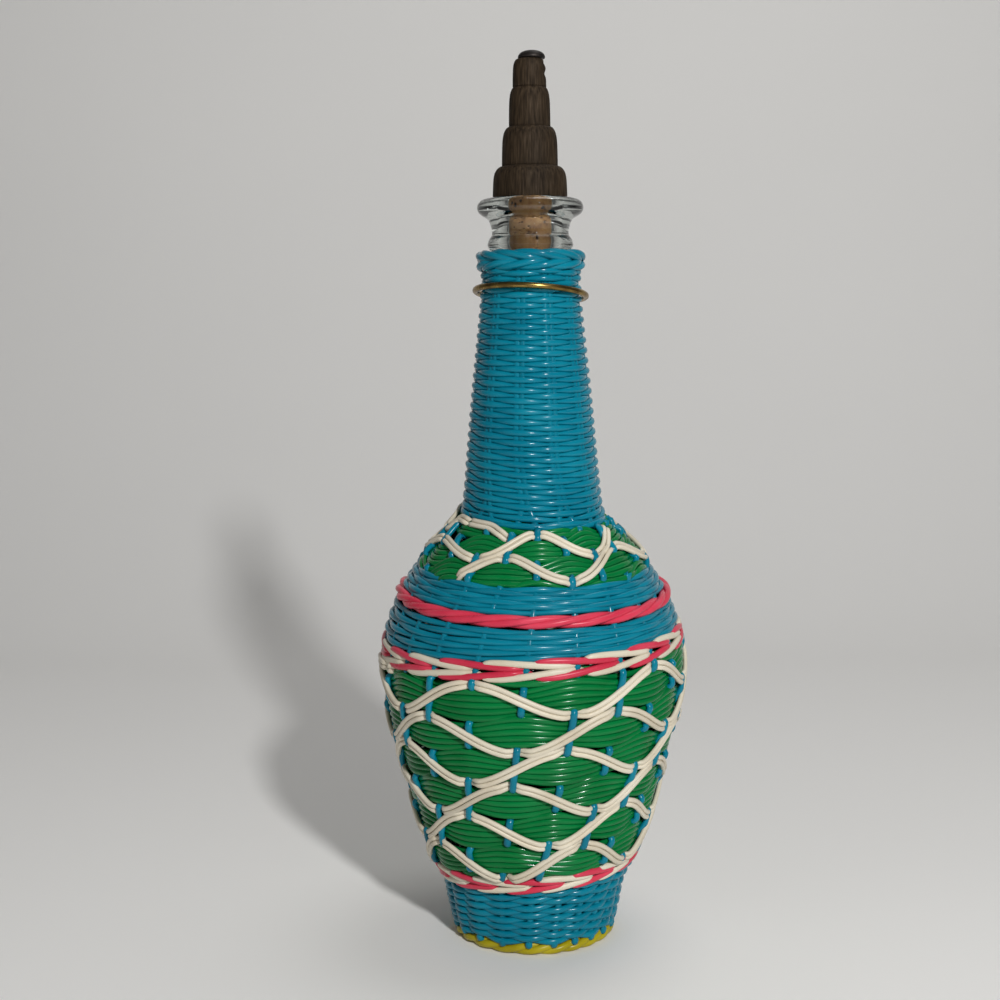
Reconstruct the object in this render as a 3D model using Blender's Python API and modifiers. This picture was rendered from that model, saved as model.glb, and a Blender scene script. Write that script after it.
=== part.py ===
"""Glass wine bottle wrapped in woven plastic strands, with a turned wooden stopper.

Metres, +Z up. The origin is on the table under the bottle's axis, and the side with the
photographed weave faces -Y. Angles round the bottle are counted from -Y towards +X.
"""

import math

import bmesh
import bpy
import numpy as np
from mathutils import Vector

# Gaps and strands
CLEARANCE = 0.0003
STAKE_DIAMETER = 0.0021
WEAVE_THICKNESS = 0.0018
WAVE_STRAND_DIAMETER = 0.0019
WAVE_CLEARANCE = 0.0006
WAVE_RECESS = 0.0008

# Heights of the woven bands, in the order they stand on each other
FOOT_BORDER_HEIGHT = 0.0048
BASE_BAND_HEIGHT = 0.0267
LOWER_MIXED_BAND_HEIGHT = 0.0073
BELLY_BAND_HEIGHT = 0.0902
UPPER_MIXED_BAND_HEIGHT = 0.0085
LOWER_TURQUOISE_BAND_HEIGHT = 0.0153
PINK_ROPE_HEIGHT = 0.0044
UPPER_TURQUOISE_BAND_HEIGHT = 0.0093
SHOULDER_BAND_HEIGHT = 0.0210
NECK_BAND_HEIGHT = 0.1051
TOP_BORDER_HEIGHT = 0.0079

# Radii over the weave
FOOT_RADIUS = 0.0338
BASE_FOOT_RADIUS = 0.0365
BASE_TOP_RADIUS = 0.0416
BELLY_RADIUS = 0.0662
NECK_FOOT_RADIUS = 0.0300
NECK_WAIST_RADIUS = 0.0222
NECK_TOP_RADIUS = 0.0213
TOP_BORDER_RADIUS = 0.0231

# Heights of the turns of the outline, as shares of the band that each lies in
BASE_TURN_SHARE = 0.83
WIDEST_SHARE = 0.94
NECK_FOOT_SHARE = 0.065
NECK_MIDDLE_SHARE = 0.50
NECK_WAIST_SHARE = 0.86
# (way down, way out) from the neck's foot to the widest row, and from there to the base
SHOULDER_SHARES = ((0.09, 0.05), (0.19, 0.225), (0.33, 0.48), (0.52, 0.755), (0.75, 0.935))
BELLY_SHARES = ((0.18, 0.04), (0.40, 0.255), (0.63, 0.495), (0.84, 0.70))

# How far the rows lean out of level: rise per length towards +X and towards +Y
NECK_FOOT_LEAN_SHARES = (-0.048, 0.085)
SHOULDER_FOOT_LEAN_SHARES = (-0.013, 0.058)
PINK_ROPE_LEAN_SHARES = (-0.010, 0.070)
UPPER_MIXED_TOP_LEAN_SHARES = (0.047, 0.033)
BELLY_TOP_LEAN_SHARES = (0.056, 0.018)
BELLY_FOOT_LEAN_SHARES = (0.073, 0.012)
BASE_TOP_LEAN_SHARES = (0.105, 0.018)
LEVEL_SHARES = (0.0, 0.0)

# Foot border and woven base
FOOT_FLAT_WIDTH = 0.0030
FOOT_WALL = 0.0044
BASE_RECESS = 0.0027
# (way out from the flat's rim to the band's foot, way up the border), and the ways up inside
FOOT_OUTSIDE_SHARES = ((1.0, 0.80), (0.80, 0.35))
FOOT_INSIDE_SHARES = (0.40, 0.75)

# Stakes: the upright strands
STAKES = 22
STAKE_ANGLE = math.radians(-4.2)
STAKE_END_RADIUS = 0.0110
# Degrees they have turned round the bottle at the foot of most bands, and at two heights on the belly
STAKE_TURNS = (-19.5, -16.5, -13.3, -8.7, -3.2, 0.4, 3.2, 5.1, 7.2)
BELLY_TURN_SHARES = (0.20, 0.63)
# (waves in a turn, degrees) of their uneven spacing, which is wider at the front
STAKE_SPREADS = ((2, 2.0), (3, 1.8))
NECK_PAIR_ANGLE = math.radians(-13.2)
PAIRING_SHARE = 0.30

# White wave pairs
STAKES_PER_WAVE = 4
WAVE_STEP = 0.01455
WAVE_HEIGHT = 0.0066
WAVE_LEAN = 0.00177
FIRST_WAVE_DROP = 0.0099
SHOULDER_WAVE_STEP = 0.0084
SHOULDER_WAVE_HEIGHT = 0.0034
SHOULDER_WAVE_LEAN = 0.0019
SHOULDER_WAVE_DIP = 0.0029
FIRST_SHOULDER_WAVE_DROP = 0.0099
BELLY_WAVE_A_ENDS = (math.radians(-865.0), math.radians(82.0))
BELLY_WAVE_B_ENDS = (math.radians(-782.0), math.radians(195.0))
SHOULDER_WAVE_A_ENDS = (math.radians(-160.0), math.radians(52.0))
SHOULDER_WAVE_B_ENDS = (math.radians(-28.0), math.radians(195.0))
BELLY_WAVE_TOP_STAKES = (-1, -2)
SHOULDER_WAVE_TOP_STAKES = (0, -1)
WAVE_SLOPE_SHARE = 0.125

# Relief of the neck's winding, and of the sets of rows on the belly, which go over every second stake
NECK_TURNS = 49
NECK_SPARE_TURNS = 3
NECK_RELIEF = 0.0009
NECK_STEPS_PER_PAIR = 3
BELLY_RAISED = 0.0007
BELLY_SUNK = 0.0003
BELLY_STEPS_PER_STAKE = 2
BELLY_LEVELS_PER_WAVE_STEP = 4
BELLY_SPARE_LEVELS = 1

# Glass
GLASS_WALL = 0.0030
GLASS_HEEL_RADIUS = 0.0080
GLASS_PUNT_HEIGHT = 0.0040
GLASS_PUNT_RADIUS = 0.0180
COLLAR_HEIGHT = 0.0050
COLLAR_RADIUS = 0.0184
THROAT_HEIGHT = 0.0095
THROAT_RADIUS = 0.0165
LIP_HEIGHT = 0.0075
LIP_RADIUS = 0.0228
# Way up the throat to its narrowest turn, and way out from the neck to the collar's two edges
THROAT_TURN_SHARE = 0.30
COLLAR_EDGE_SHARE = 0.70

# Stopper
CORK_TOP_RADIUS = 0.0094
CORK_FOOT_RADIUS = 0.0087
CORK_LENGTH = 0.0340
CORK_CHAMFER = 0.0010
DOWEL_RADIUS = 0.0030
DOWEL_IN_CORK = 0.0200
DOWEL_IN_FINIAL = 0.0180
TIER_RADII = (0.0159, 0.0119, 0.0088, 0.0071)
TIER_HEIGHTS = (0.0130, 0.0165, 0.0160, 0.0125)
# (way up, share of the radius) along one tier's side
TIER_SHARES = ((0.0, 0.97), (0.12, 1.0), (0.60, 0.98), (0.87, 0.91))
TIER_TOP_SHARE = 0.80
CAP_RADIUS = 0.0058
CAP_HEIGHT = 0.0034
CAP_STEPS = 4

# Loose brass ring
RING_WIRE_DIAMETER = 0.0026
RING_PLAY = 0.0007
RING_DROP = 0.0102
RING_LIFT_FRONT = math.radians(7.0)
RING_DROP_RIGHT = math.radians(3.5)

# Facets
ROUND_STEPS = 33
GLASS_STEPS = 24
STOPPER_STEPS = 20
RING_STEPS = 36
RING_SIDES = 8
WAVE_BEVEL_RESOLUTION = 1
STAKE_BEVEL_RESOLUTION = 0
ARC_STEPS = 3
BORDER_SIDES = 8
SHARP_ANGLE = math.radians(35.0)
MERGE_DISTANCE = 0.00001

# Colours, and each finish's roughness and metallic value
TURQUOISE = (0.010, 0.190, 0.290)
GREEN = (0.004, 0.150, 0.045)
PINK = (0.780, 0.060, 0.120)
CREAM = (0.680, 0.620, 0.500)
YELLOW = (0.580, 0.470, 0.012)
GLASS_TINT = (0.86, 0.90, 0.86)
WALNUT_BROWN = (0.085, 0.050, 0.030)
BEECH_BROWN = (0.45, 0.30, 0.17)
CORK_BROWN = (0.42, 0.27, 0.15)
DARK_GREY = (0.10, 0.08, 0.07)
BRASS_YELLOW = (0.62, 0.42, 0.16)
STRAND_FINISH = (0.22, 0.0)
GLASS_FINISH = (0.03, 0.0)
WALNUT_FINISH = (0.55, 0.0)
BEECH_FINISH = (0.60, 0.0)
CORK_FINISH = (0.85, 0.0)
CAP_FINISH = (0.45, 0.8)
BRASS_FINISH = (0.30, 1.0)

# Heights above the table
BASE_FOOT_Z = FOOT_BORDER_HEIGHT
BASE_TOP_Z = BASE_FOOT_Z + BASE_BAND_HEIGHT
BELLY_FOOT_Z = BASE_TOP_Z + LOWER_MIXED_BAND_HEIGHT
BELLY_TOP_Z = BELLY_FOOT_Z + BELLY_BAND_HEIGHT
UPPER_MIXED_TOP_Z = BELLY_TOP_Z + UPPER_MIXED_BAND_HEIGHT
PINK_FOOT_Z = UPPER_MIXED_TOP_Z + LOWER_TURQUOISE_BAND_HEIGHT
PINK_TOP_Z = PINK_FOOT_Z + PINK_ROPE_HEIGHT
SHOULDER_FOOT_Z = PINK_TOP_Z + UPPER_TURQUOISE_BAND_HEIGHT
SHOULDER_TOP_Z = SHOULDER_FOOT_Z + SHOULDER_BAND_HEIGHT
NECK_TOP_Z = SHOULDER_TOP_Z + NECK_BAND_HEIGHT
WOVEN_TOP_Z = NECK_TOP_Z + TOP_BORDER_HEIGHT
COLLAR_TOP_Z = WOVEN_TOP_Z + COLLAR_HEIGHT
LIP_FOOT_Z = COLLAR_TOP_Z + THROAT_HEIGHT
LIP_TOP_Z = LIP_FOOT_Z + LIP_HEIGHT
FIRST_WAVE_Z = BELLY_TOP_Z - FIRST_WAVE_DROP

BASE_WEAVE_TOP_Z = BASE_RECESS + WEAVE_THICKNESS
GLASS_FLOOR_Z = BASE_WEAVE_TOP_Z + CLEARANCE + STAKE_DIAMETER + CLEARANCE
GLASS_DEPTH = WEAVE_THICKNESS + CLEARANCE + STAKE_DIAMETER + CLEARANCE
CORK_TOP_Z = LIP_TOP_Z
FINIAL_FOOT_Z = LIP_TOP_Z + CLEARANCE


def clear_scene():
    for obj in list(bpy.data.objects):
        bpy.data.objects.remove(obj, do_unlink=True)


def new_collection(name):
    collection = bpy.data.collections.new(name)
    bpy.context.scene.collection.children.link(collection)
    return collection


def finish(name, colour, roughness_and_metal, transmission=0.0):
    roughness, metallic = roughness_and_metal
    material = bpy.data.materials.new(name)
    material.use_nodes = True
    shader = material.node_tree.nodes["Principled BSDF"]
    shader.inputs["Base Color"].default_value = (*colour, 1.0)
    shader.inputs["Roughness"].default_value = roughness
    shader.inputs["Metallic"].default_value = metallic
    shader.inputs["Transmission Weight"].default_value = transmission
    material.diffuse_color = (*colour, 1.0)
    return material


def add_object(name, data, material, parent=None):
    obj = bpy.data.objects.new(name, data)
    parts.objects.link(obj)
    data.materials.append(material)
    if parent:
        obj.parent = parent
        obj.location = -parent.location
    return obj


def turned_mesh(name, outline, steps):
    """The outline, points of (radius, height) with its outer side running down, turned round Z."""
    outline_mesh = bpy.data.meshes.new(name)
    edges = [(i, i + 1) for i in range(len(outline) - 1)]
    outline_mesh.from_pydata([(r, 0.0, z) for r, z in outline], edges, [])
    obj = bpy.data.objects.new(name, outline_mesh)
    parts.objects.link(obj)
    screw = obj.modifiers.new("Turn", "SCREW")
    screw.steps = steps
    screw.render_steps = steps
    screw.use_merge_vertices = True
    screw.merge_threshold = MERGE_DISTANCE
    screw.use_smooth_shade = True
    graph = bpy.context.evaluated_depsgraph_get()
    mesh = bpy.data.meshes.new_from_object(obj.evaluated_get(graph))
    bpy.data.objects.remove(obj)
    return mesh


def turned(name, outline, steps, material, parent=None):
    mesh = turned_mesh(name, outline, steps)
    mesh.name = name
    mesh.set_sharp_from_angle(angle=SHARP_ANGLE)
    return add_object(name, mesh, material, parent)


def offset_line(line, distance):
    """The line moved sideways, away from the axis where its outer side runs down."""
    moved = []
    for i, (r, z) in enumerate(line):
        before = Vector(line[i]) - Vector(line[i - 1]) if i else None
        after = Vector(line[i + 1]) - Vector(line[i]) if i + 1 < len(line) else None
        sides = [Vector((-way.y, way.x)).normalized() for way in (before, after) if way]
        middle = sum(sides, Vector((0.0, 0.0))).normalized()
        reach = distance / middle.dot(sides[0])
        moved.append((r + middle.x * reach, z + middle.y * reach))
    return moved


def arc(centre, radius, start, end, steps):
    """Points of (radius, height) on an arc, from one angle to the other, counted from outwards up."""
    points = []
    for step in range(steps + 1):
        angle = start + (end - start) * step / steps
        points.append((centre[0] + radius * math.cos(angle), centre[1] + radius * math.sin(angle)))
    return points


def between(low, high, share):
    return low + (high - low) * share


def skin_line():
    """The outline over the woven bands, from under the top border down to the foot border."""
    neck_foot_z = between(SHOULDER_TOP_Z, NECK_TOP_Z, NECK_FOOT_SHARE)
    widest_z = between(BELLY_FOOT_Z, BELLY_TOP_Z, WIDEST_SHARE)
    base_turn_z = between(BASE_FOOT_Z, BASE_TOP_Z, BASE_TURN_SHARE)
    middle_share = (NECK_WAIST_SHARE - NECK_MIDDLE_SHARE) / (NECK_WAIST_SHARE - NECK_FOOT_SHARE)
    line = [
        (NECK_TOP_RADIUS, NECK_TOP_Z),
        (NECK_WAIST_RADIUS, between(SHOULDER_TOP_Z, NECK_TOP_Z, NECK_WAIST_SHARE)),
        (
            between(NECK_WAIST_RADIUS, NECK_FOOT_RADIUS, middle_share),
            between(SHOULDER_TOP_Z, NECK_TOP_Z, NECK_MIDDLE_SHARE),
        ),
        (NECK_FOOT_RADIUS, neck_foot_z),
    ]
    for down, out in SHOULDER_SHARES:
        line.append((between(NECK_FOOT_RADIUS, BELLY_RADIUS, out), between(neck_foot_z, widest_z, down)))
    line.append((BELLY_RADIUS, widest_z))
    for down, out in BELLY_SHARES:
        line.append((between(BELLY_RADIUS, BASE_TOP_RADIUS, out), between(widest_z, base_turn_z, down)))
    line.append((BASE_TOP_RADIUS, base_turn_z))
    line.append((BASE_FOOT_RADIUS, BASE_FOOT_Z))
    return line


def on_skin(z, lift):
    """(radius, height) of the point that lies off the skin, opposite its point at height z."""
    line = skin_line()
    for upper, lower in zip(line, line[1:]):
        if z >= lower[1]:
            break
    share = (upper[1] - z) / (upper[1] - lower[1])
    way = Vector(lower) - Vector(upper)
    side = Vector((-way.y, way.x)).normalized()
    return between(upper[0], lower[0], share) + side.x * lift, z + side.y * lift


def glass_side_line():
    """The outer side of the glass from under the collar down to the flat of its floor."""
    line = offset_line(skin_line(), -GLASS_DEPTH)
    heel_z = GLASS_FLOOR_Z + GLASS_HEEL_RADIUS
    line = [point for point in line if point[1] > heel_z]
    above = line[-1]
    side_radius = above[0] - (above[1] - heel_z) * (BASE_TOP_RADIUS - BASE_FOOT_RADIUS) / (
        BASE_BAND_HEIGHT * BASE_TURN_SHARE
    )
    centre = (side_radius - GLASS_HEEL_RADIUS, heel_z)
    return line + arc(centre, GLASS_HEEL_RADIUS, 0.0, -math.pi / 2, ARC_STEPS)


def glass_bottle():
    side = glass_side_line()
    neck_radius = side[0][0]
    lip_centre = (LIP_RADIUS - LIP_HEIGHT / 2, LIP_FOOT_Z + LIP_HEIGHT / 2)
    collar_middle = (WOVEN_TOP_Z + COLLAR_TOP_Z) / 2
    collar_edge = between(neck_radius, COLLAR_RADIUS, COLLAR_EDGE_SHARE)
    mouth = [
        (THROAT_RADIUS, between(COLLAR_TOP_Z, LIP_FOOT_Z, THROAT_TURN_SHARE)),
        (collar_edge, COLLAR_TOP_Z),
        (COLLAR_RADIUS, collar_middle),
        (collar_edge, WOVEN_TOP_Z + CLEARANCE),
        (neck_radius, WOVEN_TOP_Z),
    ]
    bore_radius = CORK_TOP_RADIUS + CLEARANCE
    bore_foot_radius = CORK_FOOT_RADIUS + CLEARANCE
    bore_foot_z = CORK_TOP_Z - CORK_LENGTH
    inner = offset_line(side, -GLASS_WALL)
    inner = [point for point in inner if point[1] < bore_foot_z - GLASS_WALL]
    inner_floor_z = inner[-1][1]
    outline = [(0.0, inner_floor_z + GLASS_PUNT_HEIGHT), (GLASS_PUNT_RADIUS, inner_floor_z)]
    outline += list(reversed(inner))
    outline += [(bore_foot_radius, bore_foot_z), (bore_radius, LIP_TOP_Z)]
    outline += arc(lip_centre, LIP_HEIGHT / 2, math.pi / 2, -math.pi / 2, 2 * ARC_STEPS)
    outline += mouth + side
    outline += [(GLASS_PUNT_RADIUS, GLASS_FLOOR_Z), (0.0, GLASS_FLOOR_Z + GLASS_PUNT_HEIGHT)]
    return turned("glass_bottle", outline, GLASS_STEPS, clear_glass)


def raised_surface(band, rows, climb):
    """Faces between rows of points that each go once round, and climb so many rows in a turn."""
    rounds = [[band.verts.new(point) for point in row] for row in rows]
    steps = len(rows[0])
    for low in range(len(rows) - 1 - climb):
        for step in range(steps):
            turn, after = divmod(step + 1, steps)
            low_after = low + turn * climb
            band.faces.new(
                (
                    rounds[low][step],
                    rounds[low_after][after],
                    rounds[low_after + 1][after],
                    rounds[low + 1][step],
                )
            )


def neck_rows():
    """Points over the neck's winding, a row for each turn: over one pair of stakes, under the next."""
    steps = NECK_STEPS_PER_PAIR * STAKES // 2
    turn_height = NECK_BAND_HEIGHT / NECK_TURNS
    rows = []
    for turn in range(-NECK_SPARE_TURNS, NECK_TURNS + NECK_SPARE_TURNS):
        row = []
        for step in range(steps):
            z = SHOULDER_TOP_Z + turn_height * (turn + step / steps)
            over = math.cos(math.pi * (turn + step / NECK_STEPS_PER_PAIR))
            radius, height = on_skin(z, NECK_RELIEF * (over - 1) / 2)
            row.append(round_point(NECK_PAIR_ANGLE + math.tau * step / steps, radius, height))
        rows.append(row)
    return rows


def belly_rows():
    """Points over the belly's sets of rows: a set is raised over one stake and sunk under the next."""
    steps = BELLY_STEPS_PER_STAKE * STAKES
    level_height = WAVE_STEP / BELLY_LEVELS_PER_WAVE_STEP
    steepest = max(math.hypot(*BELLY_TOP_LEAN_SHARES), math.hypot(*BELLY_FOOT_LEAN_SHARES))
    spare = math.ceil(BELLY_RADIUS * steepest / level_height) + BELLY_SPARE_LEVELS
    levels = math.ceil(BELLY_BAND_HEIGHT / level_height) + spare
    rows = []
    for level in range(-spare, levels):
        z = BELLY_FOOT_Z + level * level_height
        row = []
        for step in range(steps):
            stake = step / BELLY_STEPS_PER_STAKE
            angle = stake_angle(stake, z)
            middle = climbing_middle(angle, FIRST_WAVE_Z, 2 * WAVE_STEP, WAVE_LEAN, 0.0)
            over = math.cos(math.pi * (stake - BELLY_WAVE_TOP_STAKES[0]))
            over *= math.cos(math.pi * (z - middle) / WAVE_STEP)
            lift = over * (BELLY_RAISED if over > 0 else BELLY_SUNK) - WAVE_RECESS
            radius, height = on_skin(z, lift)
            row.append(woven_point(angle, radius, height))
        rows.append(row)
    return rows


def woven_band(name, top, top_lean, foot, foot_lean, recess, material, rows=None, climb=0):
    """A slice, between two leaning planes, of the skin as thick as the weave.

    rows are the points of a raised outer surface, which climbs so many rows in a turn. Without
    them the outer surface is smooth, and lies as deep under the skin as the recess.
    """
    inner = offset_line(skin_line(), -WEAVE_THICKNESS)
    inner.insert(0, (inner[0][0], inner[0][1] + WEAVE_THICKNESS))
    outer = [] if rows else offset_line(skin_line(), -recess)
    mesh = turned_mesh(name, outer + list(reversed(inner)) + outer[:1], ROUND_STEPS)
    mesh.name = name
    band = bmesh.new()
    band.from_mesh(mesh)
    if rows:
        raised_surface(band, rows, climb)
    for height, lean, keep_below in (
        (top - CLEARANCE / 2, top_lean, True),
        (foot + CLEARANCE / 2, foot_lean, False),
    ):
        cut = bmesh.ops.bisect_plane(
            band,
            geom=band.verts[:] + band.edges[:] + band.faces[:],
            plane_co=(0.0, 0.0, height),
            plane_no=(-lean[0], -lean[1], 1.0),
            clear_outer=keep_below,
            clear_inner=not keep_below,
        )
        rim = [item for item in cut["geom_cut"] if isinstance(item, bmesh.types.BMEdge)]
        bmesh.ops.triangle_fill(band, edges=rim, use_beauty=True)
    bmesh.ops.recalc_face_normals(band, faces=band.faces)
    band.to_mesh(mesh)
    band.free()
    mesh.shade_smooth()
    mesh.set_sharp_from_angle(angle=SHARP_ANGLE)
    return add_object(name, mesh, material)


def woven_bands():
    woven_band(
        "neck_weave",
        NECK_TOP_Z,
        LEVEL_SHARES,
        SHOULDER_TOP_Z,
        NECK_FOOT_LEAN_SHARES,
        0.0,
        turquoise_strand,
        neck_rows(),
        1,
    )
    woven_band(
        "shoulder_weave",
        SHOULDER_TOP_Z,
        NECK_FOOT_LEAN_SHARES,
        SHOULDER_FOOT_Z,
        SHOULDER_FOOT_LEAN_SHARES,
        WAVE_RECESS,
        green_strand,
    )
    woven_band(
        "upper_turquoise_band",
        SHOULDER_FOOT_Z,
        SHOULDER_FOOT_LEAN_SHARES,
        PINK_TOP_Z,
        PINK_ROPE_LEAN_SHARES,
        0.0,
        turquoise_strand,
    )
    woven_band(
        "pink_rope", PINK_TOP_Z, PINK_ROPE_LEAN_SHARES, PINK_FOOT_Z, PINK_ROPE_LEAN_SHARES, 0.0, pink_strand
    )
    woven_band(
        "lower_turquoise_band",
        PINK_FOOT_Z,
        PINK_ROPE_LEAN_SHARES,
        UPPER_MIXED_TOP_Z,
        UPPER_MIXED_TOP_LEAN_SHARES,
        0.0,
        turquoise_strand,
    )
    mixed_ropes(
        "upper_mixed_rope",
        (UPPER_MIXED_TOP_Z, UPPER_MIXED_TOP_LEAN_SHARES),
        (BELLY_TOP_Z, BELLY_TOP_LEAN_SHARES),
    )
    woven_band(
        "belly_weave",
        BELLY_TOP_Z,
        BELLY_TOP_LEAN_SHARES,
        BELLY_FOOT_Z,
        BELLY_FOOT_LEAN_SHARES,
        WAVE_RECESS,
        green_strand,
        belly_rows(),
    )
    mixed_ropes(
        "lower_mixed_rope", (BELLY_FOOT_Z, BELLY_FOOT_LEAN_SHARES), (BASE_TOP_Z, BASE_TOP_LEAN_SHARES)
    )
    woven_band(
        "base_band", BASE_TOP_Z, BASE_TOP_LEAN_SHARES, BASE_FOOT_Z, LEVEL_SHARES, 0.0, turquoise_strand
    )


def mixed_ropes(name, top, foot):
    """Two ropes of a pink and a cream strand each, laid opposite ways, one on the other."""
    middle_z = (top[0] + foot[0]) / 2
    middle_lean = ((top[1][0] + foot[1][0]) / 2, (top[1][1] + foot[1][1]) / 2)
    woven_band(name + "_upper", top[0], top[1], middle_z, middle_lean, 0.0, pink_strand)
    woven_band(name + "_lower", middle_z, middle_lean, foot[0], foot[1], 0.0, cream_strand)


def top_border():
    inner_radius = NECK_TOP_RADIUS - GLASS_DEPTH + CLEARANCE
    wall = TOP_BORDER_RADIUS - inner_radius
    foot_z = NECK_TOP_Z + CLEARANCE / 2
    height = WOVEN_TOP_Z - foot_z
    middle = (inner_radius + wall / 2, foot_z + height / 2)
    outline = []
    for step in range(BORDER_SIDES + 1):
        angle = -math.tau * step / BORDER_SIDES
        outline.append((middle[0] + math.cos(angle) * wall / 2, middle[1] + math.sin(angle) * height / 2))
    turned("top_border_braid", outline, GLASS_STEPS, turquoise_strand)


def foot_border():
    """The yellow ring that the bottle stands on, flat where it meets the table."""
    top_z = BASE_FOOT_Z - CLEARANCE / 2
    top_inside = (BASE_FOOT_RADIUS - FOOT_WALL, top_z)
    outline = [top_inside, (BASE_FOOT_RADIUS - WEAVE_THICKNESS / 2, top_z)]
    for out, up in FOOT_OUTSIDE_SHARES:
        outline.append((between(FOOT_RADIUS, BASE_FOOT_RADIUS, out), top_z * up))
    outline += [(FOOT_RADIUS, 0.0), (FOOT_RADIUS - FOOT_FLAT_WIDTH, 0.0)]
    for up in FOOT_INSIDE_SHARES:
        outline.append((top_inside[0] - WEAVE_THICKNESS, top_z * up))
    turned("foot_border", outline + [top_inside], ROUND_STEPS, yellow_strand)


def base_weave():
    radius = BASE_FOOT_RADIUS - FOOT_WALL - WEAVE_THICKNESS - CLEARANCE
    outline = [(0.0, BASE_WEAVE_TOP_Z), (radius, BASE_WEAVE_TOP_Z), (radius, BASE_RECESS), (0.0, BASE_RECESS)]
    turned("base_weave", outline, GLASS_STEPS, turquoise_strand)


def round_point(angle, radius, z):
    return radius * math.sin(angle), -radius * math.cos(angle), z


def woven_point(angle, radius, z):
    """The point that lies at this angle among evenly spaced stakes, where these stakes have it."""
    from_front = angle - stake_angle(0, z)
    share = min(max((SHOULDER_FOOT_Z - z) / (SHOULDER_FOOT_Z - BELLY_TOP_Z), 0.0), 1.0)
    for waves, spread in STAKE_SPREADS:
        angle += share * math.radians(spread) * math.sin(waves * from_front)
    return round_point(angle, radius, z)


def tube(name, points, diameter, bevel_resolution, material):
    curve = bpy.data.curves.new(name, "CURVE")
    curve.dimensions = "3D"
    curve.bevel_depth = diameter / 2
    curve.bevel_resolution = bevel_resolution
    curve.use_fill_caps = True
    spline = curve.splines.new("POLY")
    spline.points.add(len(points) - 1)
    for knot, point in zip(spline.points, points):
        knot.co = (*point, 1.0)
    spline.use_smooth = True
    return add_object(name, curve, material)


def stake_angle(index, z):
    """Angle of a stake at a height, below the neck: the stakes turn a little as they climb."""
    belly_turns = [between(BELLY_FOOT_Z, BELLY_TOP_Z, share) for share in BELLY_TURN_SHARES]
    heights = [BASE_FOOT_Z, BASE_TOP_Z, BELLY_FOOT_Z, *belly_turns]
    heights += [BELLY_TOP_Z, PINK_FOOT_Z, SHOULDER_FOOT_Z, SHOULDER_TOP_Z]
    turn = math.radians(float(np.interp(z, heights, STAKE_TURNS)))
    return STAKE_ANGLE + math.tau / STAKES * index + turn


def stake_points(index):
    centre_lift = CLEARANCE + STAKE_DIAMETER / 2
    line = offset_line(glass_side_line(), centre_lift)
    line[0] = (line[0][0], NECK_TOP_Z - CLEARANCE)
    pitch = math.tau / STAKES
    pair = (index + 1) // 2
    side = index + 0.5 - 2 * pair
    pairing_foot = SHOULDER_TOP_Z
    pairing_top = between(SHOULDER_TOP_Z, NECK_TOP_Z, PAIRING_SHARE)
    points = []
    for radius, z in line:
        share = min(max((z - pairing_foot) / (pairing_top - pairing_foot), 0.0), 1.0)
        neck_angle = NECK_PAIR_ANGLE + 2 * pitch * pair
        neck_angle += side * (STAKE_DIAMETER + CLEARANCE) / radius
        angle = between(stake_angle(index, z), neck_angle, share)
        points.append(woven_point(angle, radius, z))
    angle = stake_angle(index, line[-1][1])
    points.append(woven_point(angle, STAKE_END_RADIUS, line[-1][1]))
    return points


def stakes():
    for index in range(STAKES):
        name = f"stake_{index + 1:02d}"
        tube(name, stake_points(index), STAKE_DIAMETER, STAKE_BEVEL_RESOLUTION, turquoise_strand)


def climbing_middle(angle, middle, rise, lean, dip):
    """Mean height of a wave, or of the rows it goes with, which climbs by rise in one turn."""
    return middle + rise * angle / math.tau - lean * math.sin(angle) + dip * (1 - math.cos(angle))


def wave_points(ends, middle, rise, height, lean, dip, top_stake, side):
    """Centres along one strand of a pair that swings up and down over STAKES_PER_WAVE stakes.

    The angle runs between the two ends, middle is the pair's mean height at the front, and rise
    is its climb in one turn. side is -1 for the lower strand of the pair and 1 for the upper one.
    """
    start, end = ends
    pitch = math.tau / STAKES
    spacing = (WAVE_STRAND_DIAMETER + CLEARANCE) / 2

    def height_at(angle):
        mean = climbing_middle(angle, middle, rise, lean, dip)
        stake = (angle - stake_angle(0, mean)) / pitch
        return mean + height * math.cos(math.tau * (stake - top_stake) / STAKES_PER_WAVE)

    steps = round((end - start) / math.tau * ROUND_STEPS)
    lift = WAVE_CLEARANCE + WAVE_STRAND_DIAMETER / 2 - WAVE_RECESS
    ahead = pitch * WAVE_SLOPE_SHARE
    points = []
    for step in range(steps + 1):
        angle = start + math.tau * step / ROUND_STEPS
        z = height_at(angle)
        radius = on_skin(z, lift)[0]
        ahead_radius, ahead_z = on_skin(height_at(angle + ahead), lift)
        behind_radius, behind_z = on_skin(height_at(angle - ahead), lift)
        upward = Vector((behind_radius - ahead_radius, behind_z - ahead_z)).length
        upward = math.copysign(upward, ahead_z - behind_z) / (2 * ahead * radius)
        along = math.hypot(1.0, upward)
        slope_top = on_skin(z + spacing, lift)
        slope_foot = on_skin(z - spacing, lift)
        up = Vector((slope_top[0] - slope_foot[0], slope_top[1] - slope_foot[1])).normalized()
        shift = side * spacing / along
        turn = -side * spacing * upward / along / radius
        points.append(woven_point(angle + turn, radius + up.x * shift, z + up.y * shift))
    return points


def wave_pair(name, **route):
    for strand, side in (("upper", 1), ("lower", -1)):
        points = wave_points(side=side, **route)
        strand_name = f"{name}_{strand}_strand"
        tube(strand_name, points, WAVE_STRAND_DIAMETER, WAVE_BEVEL_RESOLUTION, cream_strand)


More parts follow.
